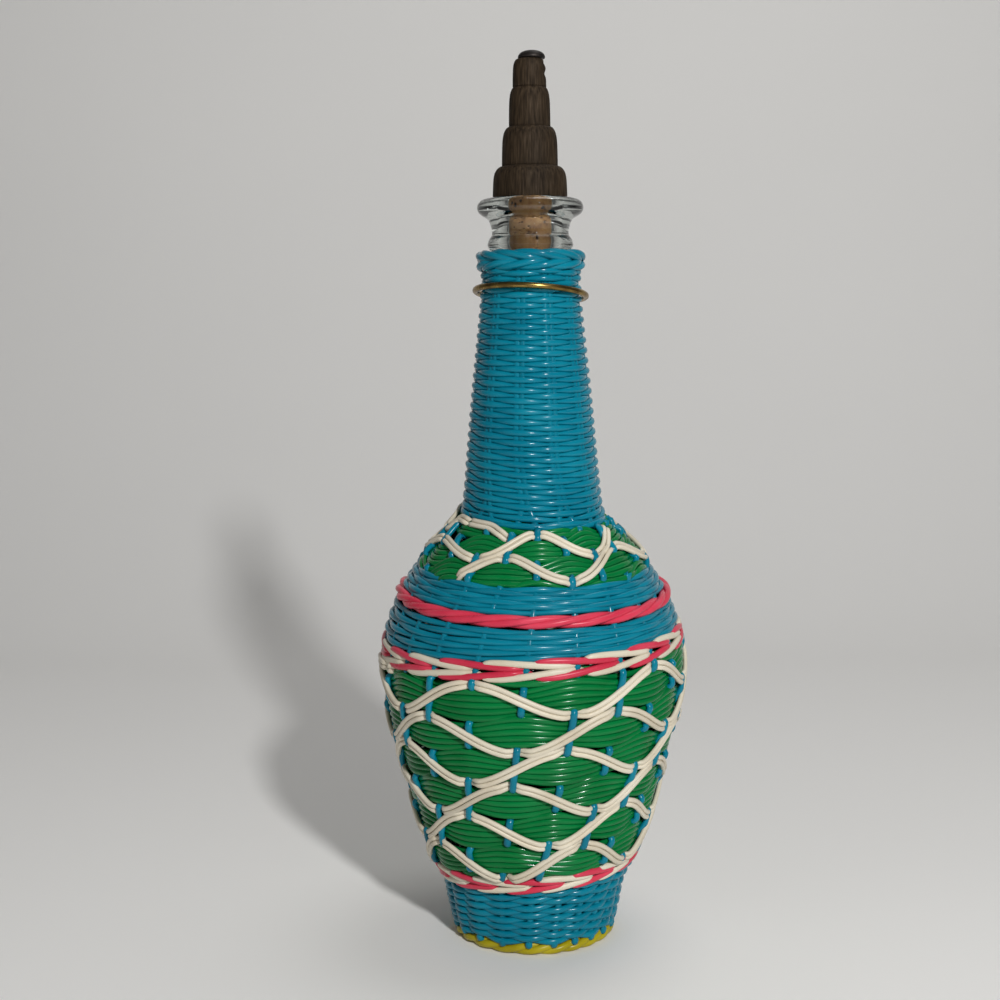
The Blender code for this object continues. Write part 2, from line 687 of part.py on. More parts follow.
def white_waves():
    belly = {"rise": 2 * WAVE_STEP, "height": WAVE_HEIGHT, "lean": WAVE_LEAN, "dip": 0.0}
    tops = BELLY_WAVE_TOP_STAKES
    wave_pair("belly_wave_a", ends=BELLY_WAVE_A_ENDS, middle=FIRST_WAVE_Z, top_stake=tops[0], **belly)
    second = FIRST_WAVE_Z - WAVE_STEP
    wave_pair("belly_wave_b", ends=BELLY_WAVE_B_ENDS, middle=second, top_stake=tops[1], **belly)
    shoulder = {
        "rise": 2 * SHOULDER_WAVE_STEP,
        "height": SHOULDER_WAVE_HEIGHT,
        "lean": SHOULDER_WAVE_LEAN,
        "dip": SHOULDER_WAVE_DIP,
    }
    first = SHOULDER_TOP_Z - FIRST_SHOULDER_WAVE_DROP
    tops = SHOULDER_WAVE_TOP_STAKES
    wave_pair("shoulder_wave_a", ends=SHOULDER_WAVE_A_ENDS, middle=first, top_stake=tops[0], **shoulder)
    second = first - SHOULDER_WAVE_STEP
    wave_pair("shoulder_wave_b", ends=SHOULDER_WAVE_B_ENDS, middle=second, top_stake=tops[1], **shoulder)


def joint_empty(name, location):
    """An empty on a moving piece's axis, which the piece hangs from."""
    empty = bpy.data.objects.new(name, None)
    parts.objects.link(empty)
    empty.location = location
    return empty


def wooden_finial(parent):
    outline = []
    foot = FINIAL_FOOT_Z
    for radius, height in zip(TIER_RADII, TIER_HEIGHTS):
        outline += [(radius * share, foot + height * up) for up, share in TIER_SHARES]
        foot += height
        outline.append((radius * TIER_TOP_SHARE, foot))
    outline = [(0.0, foot)] + list(reversed(outline))
    socket_radius = DOWEL_RADIUS + CLEARANCE
    socket_top = FINIAL_FOOT_Z + DOWEL_IN_FINIAL + CLEARANCE
    outline += [(socket_radius, FINIAL_FOOT_Z), (socket_radius, socket_top), (0.0, socket_top)]
    return turned("wooden_finial", outline, STOPPER_STEPS, walnut, parent)


def tip_cap(parent):
    foot = FINIAL_FOOT_Z + sum(TIER_HEIGHTS) + CLEARANCE
    outline = []
    for step in range(CAP_STEPS + 1):
        angle = math.pi / 2 * step / CAP_STEPS
        outline.append((CAP_RADIUS * math.sin(angle), foot + CAP_HEIGHT * math.cos(angle)))
    outline.append((0.0, foot))
    return turned("finial_tip_cap", outline, STOPPER_STEPS, dark_metal, parent)


def cork_plug(parent):
    foot = CORK_TOP_Z - CORK_LENGTH
    socket_radius = DOWEL_RADIUS + CLEARANCE
    socket_foot = CORK_TOP_Z - DOWEL_IN_CORK - CLEARANCE
    outline = [
        (0.0, socket_foot),
        (socket_radius, socket_foot),
        (socket_radius, CORK_TOP_Z),
        (CORK_TOP_RADIUS, CORK_TOP_Z),
        (CORK_FOOT_RADIUS, foot + CORK_CHAMFER),
        (CORK_FOOT_RADIUS - CORK_CHAMFER, foot),
        (0.0, foot),
    ]
    return turned("cork_plug", outline, STOPPER_STEPS, cork, parent)


def finial_dowel(parent):
    top = FINIAL_FOOT_Z + DOWEL_IN_FINIAL
    foot = CORK_TOP_Z - DOWEL_IN_CORK
    outline = [(0.0, top), (DOWEL_RADIUS, top), (DOWEL_RADIUS, foot), (0.0, foot)]
    return turned("finial_dowel", outline, STOPPER_STEPS, beech, parent)


def stopper():
    axis = joint_empty("stopper_axis", (0.0, 0.0, LIP_TOP_Z))
    wooden_finial(axis)
    tip_cap(axis)
    cork_plug(axis)
    finial_dowel(axis)


def brass_ring():
    """A loose ring of wire that rests aslant on the widening neck, under the top border."""
    middle_z = NECK_TOP_Z - RING_DROP
    axis = joint_empty("ring_axis", (0.0, 0.0, middle_z))
    radius = on_skin(middle_z, 0.0)[0] + RING_PLAY + RING_WIRE_DIAMETER / 2
    bpy.ops.mesh.primitive_torus_add(
        major_segments=RING_STEPS,
        minor_segments=RING_SIDES,
        major_radius=radius,
        minor_radius=RING_WIRE_DIAMETER / 2,
    )
    ring = bpy.context.object
    ring.name = "brass_ring"
    ring.data.name = "brass_ring"
    for collection in list(ring.users_collection):
        collection.objects.unlink(ring)
    parts.objects.link(ring)
    ring.data.materials.append(brass)
    ring.data.shade_smooth()
    ring.parent = axis
    ring.rotation_euler = (-RING_LIFT_FRONT, RING_DROP_RIGHT, 0.0)


clear_scene()
parts = new_collection("wicker_wine_bottle")

clear_glass = finish("clear glass", GLASS_TINT, GLASS_FINISH, transmission=1.0)
turquoise_strand = finish("turquoise strand", TURQUOISE, STRAND_FINISH)
green_strand = finish("green strand", GREEN, STRAND_FINISH)
pink_strand = finish("pink strand", PINK, STRAND_FINISH)
cream_strand = finish("cream strand", CREAM, STRAND_FINISH)
yellow_strand = finish("yellow strand", YELLOW, STRAND_FINISH)
walnut = finish("walnut", WALNUT_BROWN, WALNUT_FINISH)
beech = finish("beech dowel", BEECH_BROWN, BEECH_FINISH)
cork = finish("cork", CORK_BROWN, CORK_FINISH)
dark_metal = finish("dark metal cap", DARK_GREY, CAP_FINISH)
brass = finish("brass", BRASS_YELLOW, BRASS_FINISH)

glass_bottle()
stakes()
woven_bands()
white_waves()
top_border()
foot_border()
base_weave()
stopper()
brass_ring()
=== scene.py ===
import math

import bpy
import numpy as np
from mathutils import Matrix, Vector


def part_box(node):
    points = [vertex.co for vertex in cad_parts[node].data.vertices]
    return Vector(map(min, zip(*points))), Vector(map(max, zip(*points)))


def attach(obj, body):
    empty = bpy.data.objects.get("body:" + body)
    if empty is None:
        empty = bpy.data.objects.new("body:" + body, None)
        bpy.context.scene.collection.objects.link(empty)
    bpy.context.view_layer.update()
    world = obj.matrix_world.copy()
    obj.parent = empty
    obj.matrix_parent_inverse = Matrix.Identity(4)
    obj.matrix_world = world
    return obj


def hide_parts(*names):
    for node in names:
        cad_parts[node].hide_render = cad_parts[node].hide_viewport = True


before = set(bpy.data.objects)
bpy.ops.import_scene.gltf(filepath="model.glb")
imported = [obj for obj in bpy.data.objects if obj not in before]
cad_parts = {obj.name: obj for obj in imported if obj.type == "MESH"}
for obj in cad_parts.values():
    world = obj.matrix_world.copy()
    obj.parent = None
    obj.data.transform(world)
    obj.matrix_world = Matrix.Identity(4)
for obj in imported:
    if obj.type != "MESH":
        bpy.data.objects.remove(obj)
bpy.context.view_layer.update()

# Glass bottle: one clear blown piece with a thick rolled lip, a hollow throat and a small collar.
# Only its mouth shows, above the border braid. The wicker is woven tight round the rest of it.
FULL_TURN = 2 * math.pi
LINE_STEPS = 5
AT_AXIS = 1e-6
GLASS_STEPS = 144
GLASS_IOR = 1.48
GLASS_TINT = (0.60, 0.63, 0.60)
GLASS_PALE_TINT = (0.70, 0.73, 0.70)
GLASS_SMEARS = 90.0
GLASS_ROUGHNESS = (0.0, 0.03)
GLASS_RIPPLES = 45.0
GLASS_RELIEF = (0.05, 0.0006)
GLASS_FOOT = ((0.0, 0.0112), (0.0090, 0.0098), (0.0180, 0.0072))
GLASS_OUTSIDE = (
    (0.0263, 0.0072), (0.0303, 0.0083), (0.0332, 0.0112), (0.0343, 0.0152), (0.0373, 0.0285),
    (0.0447, 0.0439), (0.0497, 0.0638), (0.0556, 0.0861), (0.0600, 0.1069), (0.0612, 0.1234),
    (0.0590, 0.1401), (0.0526, 0.1553), (0.0430, 0.1681), (0.0338, 0.1779), (0.0270, 0.1857),
    (0.0247, 0.1935), (0.0172, 0.2775), (0.0165, 0.2923), (0.0166, 0.3003), (0.0176, 0.3010),
    (0.0184, 0.3030), (0.0178, 0.3053), (0.0166, 0.3072), (0.0167, 0.3100), (0.0180, 0.3136),
    (0.0205, 0.3153), (0.0222, 0.3168), (0.0228, 0.3187), (0.0223, 0.3206), (0.0209, 0.3219),
    (0.0191, 0.3225),
)
GLASS_BORE = ((0.0112, 0.3225), (0.0100, 0.3219), (0.0097, 0.3205), (0.0093, 0.3050), (0.0090, 0.2885))
GLASS_INSIDE = (
    (0.0147, 0.2773), (0.0215, 0.1929), (0.0242, 0.1842), (0.0318, 0.1758), (0.0408, 0.1662),
    (0.0500, 0.1539), (0.0560, 0.1394), (0.0582, 0.1233), (0.0573, 0.1073), (0.0522, 0.0868),
    (0.0463, 0.0646), (0.0415, 0.0450), (0.0341, 0.0294), (0.0311, 0.0159), (0.0255, 0.0125),
    (0.0180, 0.0128), (0.0, 0.0141),
)


def flowing(line, steps=LINE_STEPS):
    """The same (radius, height) line with points added on a smooth curve through its own."""
    knots = np.array((line[0],) + tuple(line) + (line[-1],), float)
    points = []
    for before, start, end, after in zip(knots, knots[1:], knots[2:], knots[3:]):
        for step in range(steps):
            t = step / steps
            bend = (2 * before - 5 * start + 4 * end - after) * t
            bend += (3 * start - before - 3 * end + after) * t * t
            points.append(start + 0.5 * t * (end - before + bend))
    points.append(knots[-1])
    return np.array(points)


def new_piece(name, vertices, faces, material, body=None, replaced=()):
    """One smooth mesh in the scene. A piece of the bottle rides a body and replaces nodes."""
    mesh = bpy.data.meshes.new(name)
    mesh.from_pydata([tuple(vertex) for vertex in vertices], [], faces)
    mesh.polygons.foreach_set("use_smooth", [True] * len(mesh.polygons))
    mesh.materials.append(material)
    mesh.update()
    piece = bpy.data.objects.new(name, mesh)
    bpy.context.scene.collection.objects.link(piece)
    if body:
        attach(piece, body)
    if replaced:
        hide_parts(*replaced)
    return piece


def turned(line, steps):
    """Vertices and faces of a (radius, height) line turned round the bottle's axis."""
    vertices = []
    rings = []
    for radius, height in line:
        if radius < AT_AXIS:
            rings.append([len(vertices)] * steps)
            vertices.append((0.0, 0.0, height))
            continue
        rings.append([len(vertices) + step for step in range(steps)])
        for step in range(steps):
            angle = FULL_TURN * step / steps
            vertices.append((radius * math.sin(angle), -radius * math.cos(angle), height))
    faces = []
    for low, high in zip(rings, rings[1:]):
        for step in range(steps):
            after = (step + 1) % steps
            corners = (low[step], low[after], high[after], high[step])
            face = tuple(dict.fromkeys(corners))
            if len(face) > 2:
                faces.append(face)
    return vertices, faces


def new_finish(name):
    """A new material, with its node tree and its main surface shader."""
    material = bpy.data.materials.new(name)
    material.use_nodes = True
    nodes = material.node_tree.nodes
    return material, nodes, material.node_tree.links, nodes["Principled BSDF"]


def mottling(nodes, links, scale, detail=3.0, stretch=(1.0, 1.0, 1.0)):
    """Noise laid over a piece in its own coordinates, closer together where stretch is larger."""
    place = nodes.new("ShaderNodeTexCoord")
    mapping = nodes.new("ShaderNodeMapping")
    mapping.inputs["Scale"].default_value = stretch
    texture = nodes.new("ShaderNodeTexNoise")
    texture.inputs["Scale"].default_value = scale
    texture.inputs["Detail"].default_value = detail
    links.new(place.outputs["Object"], mapping.inputs["Vector"])
    links.new(mapping.outputs["Vector"], texture.inputs["Vector"])
    return texture.outputs["Fac"]


def tones(nodes, links, source, *stops):
    """Colours picked by a value: each stop is (place, colour)."""
    node = nodes.new("ShaderNodeValToRGB")
    elements = node.color_ramp.elements
    while len(elements) < len(stops):
        elements.new(0.5)
    for element, (place, colour) in zip(elements, stops):
        element.position = place
        element.color = (*colour, 1.0)
    links.new(source, node.inputs["Fac"])
    return node.outputs["Color"]


def uneven(nodes, links, source, low, high):
    """A value that runs from low to high as the source runs over the middle of its range."""
    node = nodes.new("ShaderNodeMapRange")
    node.inputs["From Min"].default_value = 0.3
    node.inputs["From Max"].default_value = 0.7
    node.inputs["To Min"].default_value = low
    node.inputs["To Max"].default_value = high
    links.new(source, node.inputs["Value"])
    return node.outputs["Result"]


def rough_skin(nodes, links, surface, source, strength, depth):
    """Fine relief under the gloss, too small to model."""
    bump = nodes.new("ShaderNodeBump")
    bump.inputs["Strength"].default_value = strength
    bump.inputs["Distance"].default_value = depth
    links.new(source, bump.inputs["Height"])
    links.new(bump.outputs["Normal"], surface.inputs["Normal"])


def clear_glass():
    """Clear glass, hardly tinted, with faint smears and slow ripples."""
    material, nodes, links, surface = new_finish("clear_glass")
    surface.inputs["Transmission Weight"].default_value = 1.0
    surface.inputs["IOR"].default_value = GLASS_IOR
    smear = mottling(nodes, links, GLASS_SMEARS)
    tint = tones(nodes, links, smear, (0.0, GLASS_TINT), (1.0, GLASS_PALE_TINT))
    links.new(tint, surface.inputs["Base Color"])
    links.new(uneven(nodes, links, smear, *GLASS_ROUGHNESS), surface.inputs["Roughness"])
    rough_skin(nodes, links, surface, mottling(nodes, links, GLASS_RIPPLES, 1.0), *GLASS_RELIEF)
    return material


glass_line = np.vstack([flowing(line) for line in (GLASS_FOOT, GLASS_OUTSIDE, GLASS_BORE, GLASS_INSIDE)])
glass_line[:, 0] = np.maximum(glass_line[:, 0], 0.0)
glass_vertices, glass_faces = turned(glass_line, GLASS_STEPS)
new_piece(
    "blown_glass_bottle", glass_vertices, glass_faces, clear_glass(), "bottle",
    ("glass_bottle",),
)

# Stakes: 22 upright strands of turquoise plastic that start under the foot, lean a little as they
# climb, go under and over the rows woven round them, and close up into 11 pairs on the neck.
SKIN_LINE = (
    (0.0338, -0.0020), (0.0345, 0.0), (0.0364, 0.0044), (0.0387, 0.0129), (0.0401, 0.0209),
    (0.0417, 0.0270), (0.0450, 0.0335), (0.0491, 0.0430), (0.0515, 0.0513), (0.0538, 0.0607),
    (0.0559, 0.0689), (0.0581, 0.0768), (0.0615, 0.0901), (0.0639, 0.0997), (0.0655, 0.1097),
    (0.0663, 0.1200), (0.0664, 0.1275), (0.0655, 0.1364), (0.0635, 0.1435), (0.0614, 0.1487),
    (0.0578, 0.1562), (0.0535, 0.1627), (0.0500, 0.1674), (0.0462, 0.1722), (0.0388, 0.1800),
    (0.0330, 0.1861), (0.0311, 0.1900), (0.0303, 0.1953), (0.0295, 0.2023), (0.0281, 0.2176),
    (0.0260, 0.2404), (0.0242, 0.2574), (0.0221, 0.2776), (0.0215, 0.2900), (0.0218, 0.2960),
    (0.0222, 0.3040),
)
SKIN_STEPS = 8
STAKES = 22
STAKE_STEP = FULL_TURN / STAKES
STAKE_FRONT_ANGLE = math.radians(-4.2)
STAKE_TURNS = (
    (-19.5, 0.0048), (-16.5, 0.0315), (-13.3, 0.0388), (-8.7, 0.0568), (-3.2, 0.0956), (0.4, 0.1290),
    (3.2, 0.1528), (5.1, 0.1665), (7.2, 0.1875),
)
STAKE_TURN_STEPS = 6
STAKE_SPREADS = ((2, 2.0), (3, 1.8))
SPREAD_FULL = 0.1290
SPREAD_GONE = 0.1665
SHOULDER_SLIP = math.radians(8)
SLIP_PLACE = (math.radians(-52), 0.184)
SLIP_REACH = (math.radians(20), 0.010)
STAKE_WIDTH = 0.0031
STAKE_THICKNESS = 0.0025
NECK_PAIR_ANGLE = math.radians(-13.2)
NECK_PAIR_STEP = 2 * STAKE_STEP
NECK_PAIR_GAP = 0.0025
PAIRING_BELOW = 0.004
PAIRING_ABOVE = 0.008
PAIRING_TOP = 0.218
STRAND_SIDES = 10
STEPS_PER_TURN = 264
NECK_FOOT = (0.1875, -0.048, 0.085)
SHOULDER_FOOT = (0.1665, -0.013, 0.058)
PINK_TOP = (0.1572, -0.010, 0.070)
PINK_FOOT = (0.1518, -0.010, 0.070)
UPPER_MIXED_TOP = (0.1375, 0.047, 0.033)
UPPER_MIXED_FOOT = (0.1290, 0.056, 0.018)
LOWER_MIXED_TOP = (0.0388, 0.073, 0.012)
LOWER_MIXED_FOOT = (0.0315, 0.105, 0.018)
TURQUOISE = (0.001, 0.197, 0.288)
PALE_TURQUOISE = (0.003, 0.226, 0.318)
DARK_TURQUOISE = (0.0005, 0.158, 0.240)
STRAND_PATCHES = 55.0
STRAND_SHADE = (0.80, 0.80, 0.80)
STRAND_SHADE_AMOUNT = 0.8
STRAND_SPECULAR = 0.24
STRAND_GRAIN = 700.0
STRAND_RELIEF = (0.05, 0.0001)

skin_curve = flowing(SKIN_LINE, SKIN_STEPS)
SKIN_R = skin_curve[:, 0]
SKIN_Z = skin_curve[:, 1]
SKIN_LENGTH = np.concatenate(([0.0], np.cumsum(np.hypot(np.diff(SKIN_R), np.diff(SKIN_Z)))))
skin_slope = np.stack((np.gradient(SKIN_Z), -np.gradient(SKIN_R)))
SKIN_OUT_R, SKIN_OUT_Z = skin_slope / np.hypot(*skin_slope)
turn_curve = flowing(STAKE_TURNS, STAKE_TURN_STEPS)
random = np.random.RandomState(7)


def stake_turn(height):
    """How far the stakes have turned round the bottle at each height."""
    return np.radians(np.interp(height, turn_curve[:, 1], turn_curve[:, 0]))


def spread(angle, height):
    """Angles moved to the stakes' uneven spacing on the belly, and at the left of the neck's foot."""
    from_front = angle - STAKE_FRONT_ANGLE - stake_turn(height)
    share = np.clip((SPREAD_GONE - height) / (SPREAD_GONE - SPREAD_FULL), 0.0, 1.0)
    moved = share * sum(math.radians(size) * np.sin(waves * from_front) for waves, size in STAKE_SPREADS)
    turn_off = (from_front - SLIP_PLACE[0] + math.pi) % FULL_TURN - math.pi
    near = (turn_off / SLIP_REACH[0]) ** 2 + ((height - SLIP_PLACE[1]) / SLIP_REACH[1]) ** 2
    return angle + moved - SHOULDER_SLIP * np.exp(-near)


def on_skin(angle, height, lift):
    """Points at these angles that stand lift off the woven skin, where it has this height."""
    angle = spread(angle, height)
    radius = np.interp(height, SKIN_Z, SKIN_R) + lift * np.interp(height, SKIN_Z, SKIN_OUT_R)
    level = height + lift * np.interp(height, SKIN_Z, SKIN_OUT_Z)
    return np.stack((radius * np.sin(angle), -radius * np.cos(angle), level), axis=-1)


def level_of(edge, angle):
    """Height at each angle of a band's edge, given by its height, its lean right and its lean back."""
    height, lean_right, lean_back = edge
    radius = np.interp(height, SKIN_Z, SKIN_R)
    return height + radius * (lean_right * np.sin(angle) - lean_back * np.cos(angle))


def stake_count(angle, height):
    """How many stakes lie between the front one and this place, as a number with a fraction."""
    return (angle - STAKE_FRONT_ANGLE - stake_turn(height)) / STAKE_STEP


def strand_faces(count, sides, closed, first):
    """Faces of a tube of so many rings, which closes on itself or has a flat end at each side."""
    rows = count if closed else count - 1
    here = np.arange(rows)[:, None] * sides
    after = ((np.arange(rows) + 1) % count)[:, None] * sides
    side = np.arange(sides)[None, :]
    next_side = (side + 1) % sides
    quads = np.stack((here + side, here + next_side, after + next_side, after + side), axis=-1)
    faces = (quads.reshape(-1, 4) + first).tolist()
    if not closed:
        faces.append([first + s for s in reversed(range(sides))])
        faces.append([first + (count - 1) * sides + s for s in range(sides)])
    return faces


def strands(name, lines, width, finish, replaced=(), thickness=None, closed=False, body="bottle"):
    """One mesh of strands, each along its own line, with one width or a width at each point."""
    thickness = thickness or width
    if not isinstance(width, list):
        width = [width] * len(lines)
    vertices, faces, tints = [], [], []
    turn = FULL_TURN * np.arange(STRAND_SIDES) / STRAND_SIDES
    first = 0
    for line, wide in zip(lines, width):
        wide = np.broadcast_to(wide, len(line))[:, None, None]
        if closed:
            along = np.roll(line, -1, 0) - np.roll(line, 1, 0)
        else:
            along = np.gradient(line, axis=0)
        along /= np.linalg.norm(along, axis=1)[:, None]
        out = line * (1.0, 1.0, 0.0)
        out = out - along * np.sum(out * along, axis=1)[:, None]
        out /= np.linalg.norm(out, axis=1)[:, None]
        across = np.cross(along, out)
        ring = (
            out[:, None, :] * np.cos(turn)[None, :, None] * thickness / 2
            + across[:, None, :] * np.sin(turn)[None, :, None] * wide / 2
        )
        vertices.append((line[:, None, :] + ring).reshape(-1, 3))
        faces += strand_faces(len(line), STRAND_SIDES, closed, first)
        first += len(line) * STRAND_SIDES
        tints.append(np.full(len(line) * STRAND_SIDES, random.uniform()))
    piece = new_piece(name, np.vstack(vertices), faces, finish, body, replaced)
    tint = piece.data.attributes.new("strand_tint", "FLOAT", "POINT")
    tint.data.foreach_set("value", np.concatenate(tints).astype(np.float32))


def multiplied(nodes, links, colour, shade, amount=1.0):
    """A colour darkened by a shade."""
    mix = nodes.new("ShaderNodeMix")
    mix.data_type = "RGBA"
    mix.blend_type = "MULTIPLY"
    mix.inputs["Factor"].default_value = amount
    links.new(colour, mix.inputs["A"])
    links.new(shade, mix.inputs["B"])
    return mix.outputs["Result"]


def strand_plastic(name, colour, pale, dark, roughness=0.19):
    """Glossy soft plastic: a little paler or darker from strand to strand and along each one."""
    material, nodes, links, surface = new_finish(name)
    patches = mottling(nodes, links, STRAND_PATCHES, 4.0)
    body_colour = tones(nodes, links, patches, (0.25, dark), (0.5, colour), (0.8, pale))
    tint = nodes.new("ShaderNodeAttribute")
    tint.attribute_name = "strand_tint"
    shade = tones(nodes, links, tint.outputs["Fac"], (0.0, STRAND_SHADE), (1.0, (1.0, 1.0, 1.0)))
    shaded = multiplied(nodes, links, body_colour, shade, STRAND_SHADE_AMOUNT)
    links.new(shaded, surface.inputs["Base Color"])
    links.new(uneven(nodes, links, patches, roughness - 0.05, roughness + 0.08), surface.inputs["Roughness"])
    surface.inputs["Specular IOR Level"].default_value = STRAND_SPECULAR
    rough_skin(nodes, links, surface, mottling(nodes, links, STRAND_GRAIN, 2.0), *STRAND_RELIEF)
    return material


turquoise_plastic = strand_plastic("turquoise_plastic", TURQUOISE, PALE_TURQUOISE, DARK_TURQUOISE)

BELLY_RISE = 0.0291
BELLY_LEAN = 0.00177
BELLY_DIP = 0.0
BELLY_SETS = ((0.1191, -1), (0.1039, -2))
BELLY_PATTERN = 1.0
SHOULDER_RISE = 0.0168
SHOULDER_LEAN = 0.0019
SHOULDER_DIP = 0.0029
SHOULDER_SETS = ((0.1776, 0), (0.1692, -1))
SHOULDER_PATTERN = 0.577
SET_FAR_SIDE = 0.0088
SET_NEAR_SIDE = 0.0047
SET_EDGE = 0.0016
SET_TURNS = 6
SET_REPEAT = 4
CROSSING_REACH = 0.004
SHOULDER_SAG = 0.0045
SAG_PLACE = math.radians(-64)
SAG_REACH = math.radians(18)
STAKE_OUT = 0.0001
STAKE_OVER = -0.0013
STAKE_IN = -0.0034
STAKE_IN_BANDS = -0.0024
STAKE_IN_ROPES = -0.0026
STAKE_ON_NECK = -0.0022
STAKE_EASE = 0.0008
STAKE_TOE = (0.0044, 0.0051, 0.0064)
STAKE_TOE_LIFT = -0.0007
STAKE_TOP = 0.2945
STAKE_STEPS = 420
STAKE_INNER_END = 0.0125
STAKE_INWARD_SHARE = 0.93
STAKE_INWARD_STEPS = 14
STAKE_BASE_LEVEL = 0.0036
STAKE_BEND = 0.0009
STAKE_BEND_SHARPNESS = 6


def set_middle(angle, first, rise, lean, dip):
    """Height of the middle of a green set, which climbs as it goes round; the shoulder's sag at left."""
    sag = SHOULDER_SAG * np.exp(-(((angle - SAG_PLACE) / SAG_REACH) ** 2)) if dip else 0.0
    return first + rise * angle / FULL_TURN - lean * np.sin(angle) + dip * (1 - np.cos(angle)) - sag


def soft_step(value, low, high):
    """A share that rises softly from 0 at low to 1 at high."""
    share = np.clip((value - low) / (high - low), 0.0, 1.0)
    return share * share * (3 - 2 * share)


def stake_place(number, height):
    """Angle of a stake at each height: it leans, then closes up with its neighbour on the neck."""
    leaning = STAKE_FRONT_ANGLE + STAKE_STEP * number + stake_turn(np.minimum(height, NECK_FOOT[0]))
    pair = (number + 1) // 2
    side = number + 0.5 - 2 * pair
    radius = np.interp(height, SKIN_Z, SKIN_R)
    paired = NECK_PAIR_ANGLE + NECK_PAIR_STEP * pair + side * NECK_PAIR_GAP / radius
    share = soft_step(height, NECK_FOOT[0] - PAIRING_BELOW, PAIRING_TOP)
    close = soft_step(height, NECK_FOOT[0] - PAIRING_BELOW, NECK_FOOT[0] + PAIRING_ABOVE)
    beside = leaning - side * (STAKE_STEP - NECK_PAIR_GAP / radius) * close
    return beside * (1 - share) + paired * share


def lift_in_sets(number, angle, height, sets, rise, lean, dip, pattern):
    """How deep a stake lies in a green weave: in where a set covers it, out where one dives."""
    hidden = np.zeros_like(height)
    crossed = np.zeros_like(height)
    edge = SET_EDGE * pattern
    for first, top_stake in sets:
        for turn in range(-SET_TURNS, SET_TURNS + 1):
            middle = set_middle(angle + turn * FULL_TURN, first, rise, lean, dip)
            phase = (number + turn * STAKES - top_stake) % SET_REPEAT
            if phase % 2:
                crossed = np.maximum(crossed, 1 - np.abs(height - middle) / (CROSSING_REACH * pattern))
                continue
            low, high = -SET_FAR_SIDE, SET_NEAR_SIDE
            if phase:
                low, high = -SET_NEAR_SIDE, SET_FAR_SIDE
            inside = soft_step(height, middle + low * pattern - edge, middle + low * pattern + edge)
            inside *= 1 - soft_step(height, middle + high * pattern - edge, middle + high * pattern + edge)
            hidden = np.maximum(hidden, inside)
    out = STAKE_OUT + (STAKE_OVER - STAKE_OUT) * np.clip(crossed, 0.0, 1.0)
    return out + (STAKE_IN - out) * hidden


def stake_lift(number, angle, height):
    """How far a stake stands off the skin all the way up."""
    belly = lift_in_sets(
        number, angle, height, BELLY_SETS, BELLY_RISE, BELLY_LEAN, BELLY_DIP, BELLY_PATTERN
    )
    shoulder = lift_in_sets(
        number, angle, height, SHOULDER_SETS, SHOULDER_RISE, SHOULDER_LEAN, SHOULDER_DIP, SHOULDER_PATTERN
    )
    edges = (
        (LOWER_MIXED_FOOT, STAKE_IN_BANDS, STAKE_IN_ROPES),
        (LOWER_MIXED_TOP, STAKE_IN_ROPES, belly),
        (UPPER_MIXED_FOOT, belly, STAKE_IN_BANDS),
        (PINK_FOOT, STAKE_IN_BANDS, STAKE_IN_ROPES),
        (PINK_TOP, STAKE_IN_ROPES, STAKE_IN_BANDS),
        (SHOULDER_FOOT, STAKE_IN_BANDS, shoulder),
        (NECK_FOOT, shoulder, STAKE_ON_NECK),
    )
    lift = STAKE_TOE_LIFT + (STAKE_IN_BANDS - STAKE_TOE_LIFT) * soft_step(height, *STAKE_TOE[1:])
    for edge, below, above in edges:
        level = level_of(edge, angle)
        share = soft_step(height, level - STAKE_EASE, level + STAKE_EASE)
        lift = np.where(height > level - STAKE_EASE, below + (above - below) * share, lift)
    return lift


stake_heights = np.linspace(STAKE_TOE[0], STAKE_TOP, STAKE_STEPS)
for number in range(STAKES):
    angle = stake_place(number, stake_heights)
    upright = on_skin(angle, stake_heights, stake_lift(number, angle, stake_heights))
    foot = upright[0]
    reach = math.hypot(foot[0], foot[1])
    inward = []
    for share in np.linspace(0.0, STAKE_INWARD_SHARE, STAKE_INWARD_STEPS):
        scale = (STAKE_INNER_END + (reach - STAKE_INNER_END) * share) / reach
        level = STAKE_BASE_LEVEL + STAKE_BEND * share ** STAKE_BEND_SHARPNESS
        inward.append((foot[0] * scale, foot[1] * scale, level))
    strands(
        f"stake_strand_{number + 1:02d}", [np.vstack((inward, upright))], STAKE_WIDTH, turquoise_plastic,
        (f"stake_{number + 1:02d}",), STAKE_THICKNESS,
    )

# Woven base: rings of turquoise strand woven over and under the stakes where these run in to the
# middle under the bottle. The photograph doesn't show it. The foot border stands a little lower.
FOOT_TOP = 0.0048
BASE_RINGS = 8
BASE_FIRST_RADIUS = 0.0135
BASE_RING_STEP = 0.0024
BASE_CENTRE_RINGS = 5
BASE_CENTRE_RADIUS = 0.0014
BASE_CENTRE_DROP = 0.0002
BASE_WAVE = 0.0011
BASE_WIDTH = 0.0024
BASE_THICKNESS = 0.0018
round_angles = np.linspace(0.0, FULL_TURN, STEPS_PER_TURN, endpoint=False)


def base_ring(radius, level):
    """A ring round the bottle's axis, with one level or a level at each point."""
    level = np.broadcast_to(level, STEPS_PER_TURN)
    return np.stack((radius * np.sin(round_angles), -radius * np.cos(round_angles), level), axis=-1)


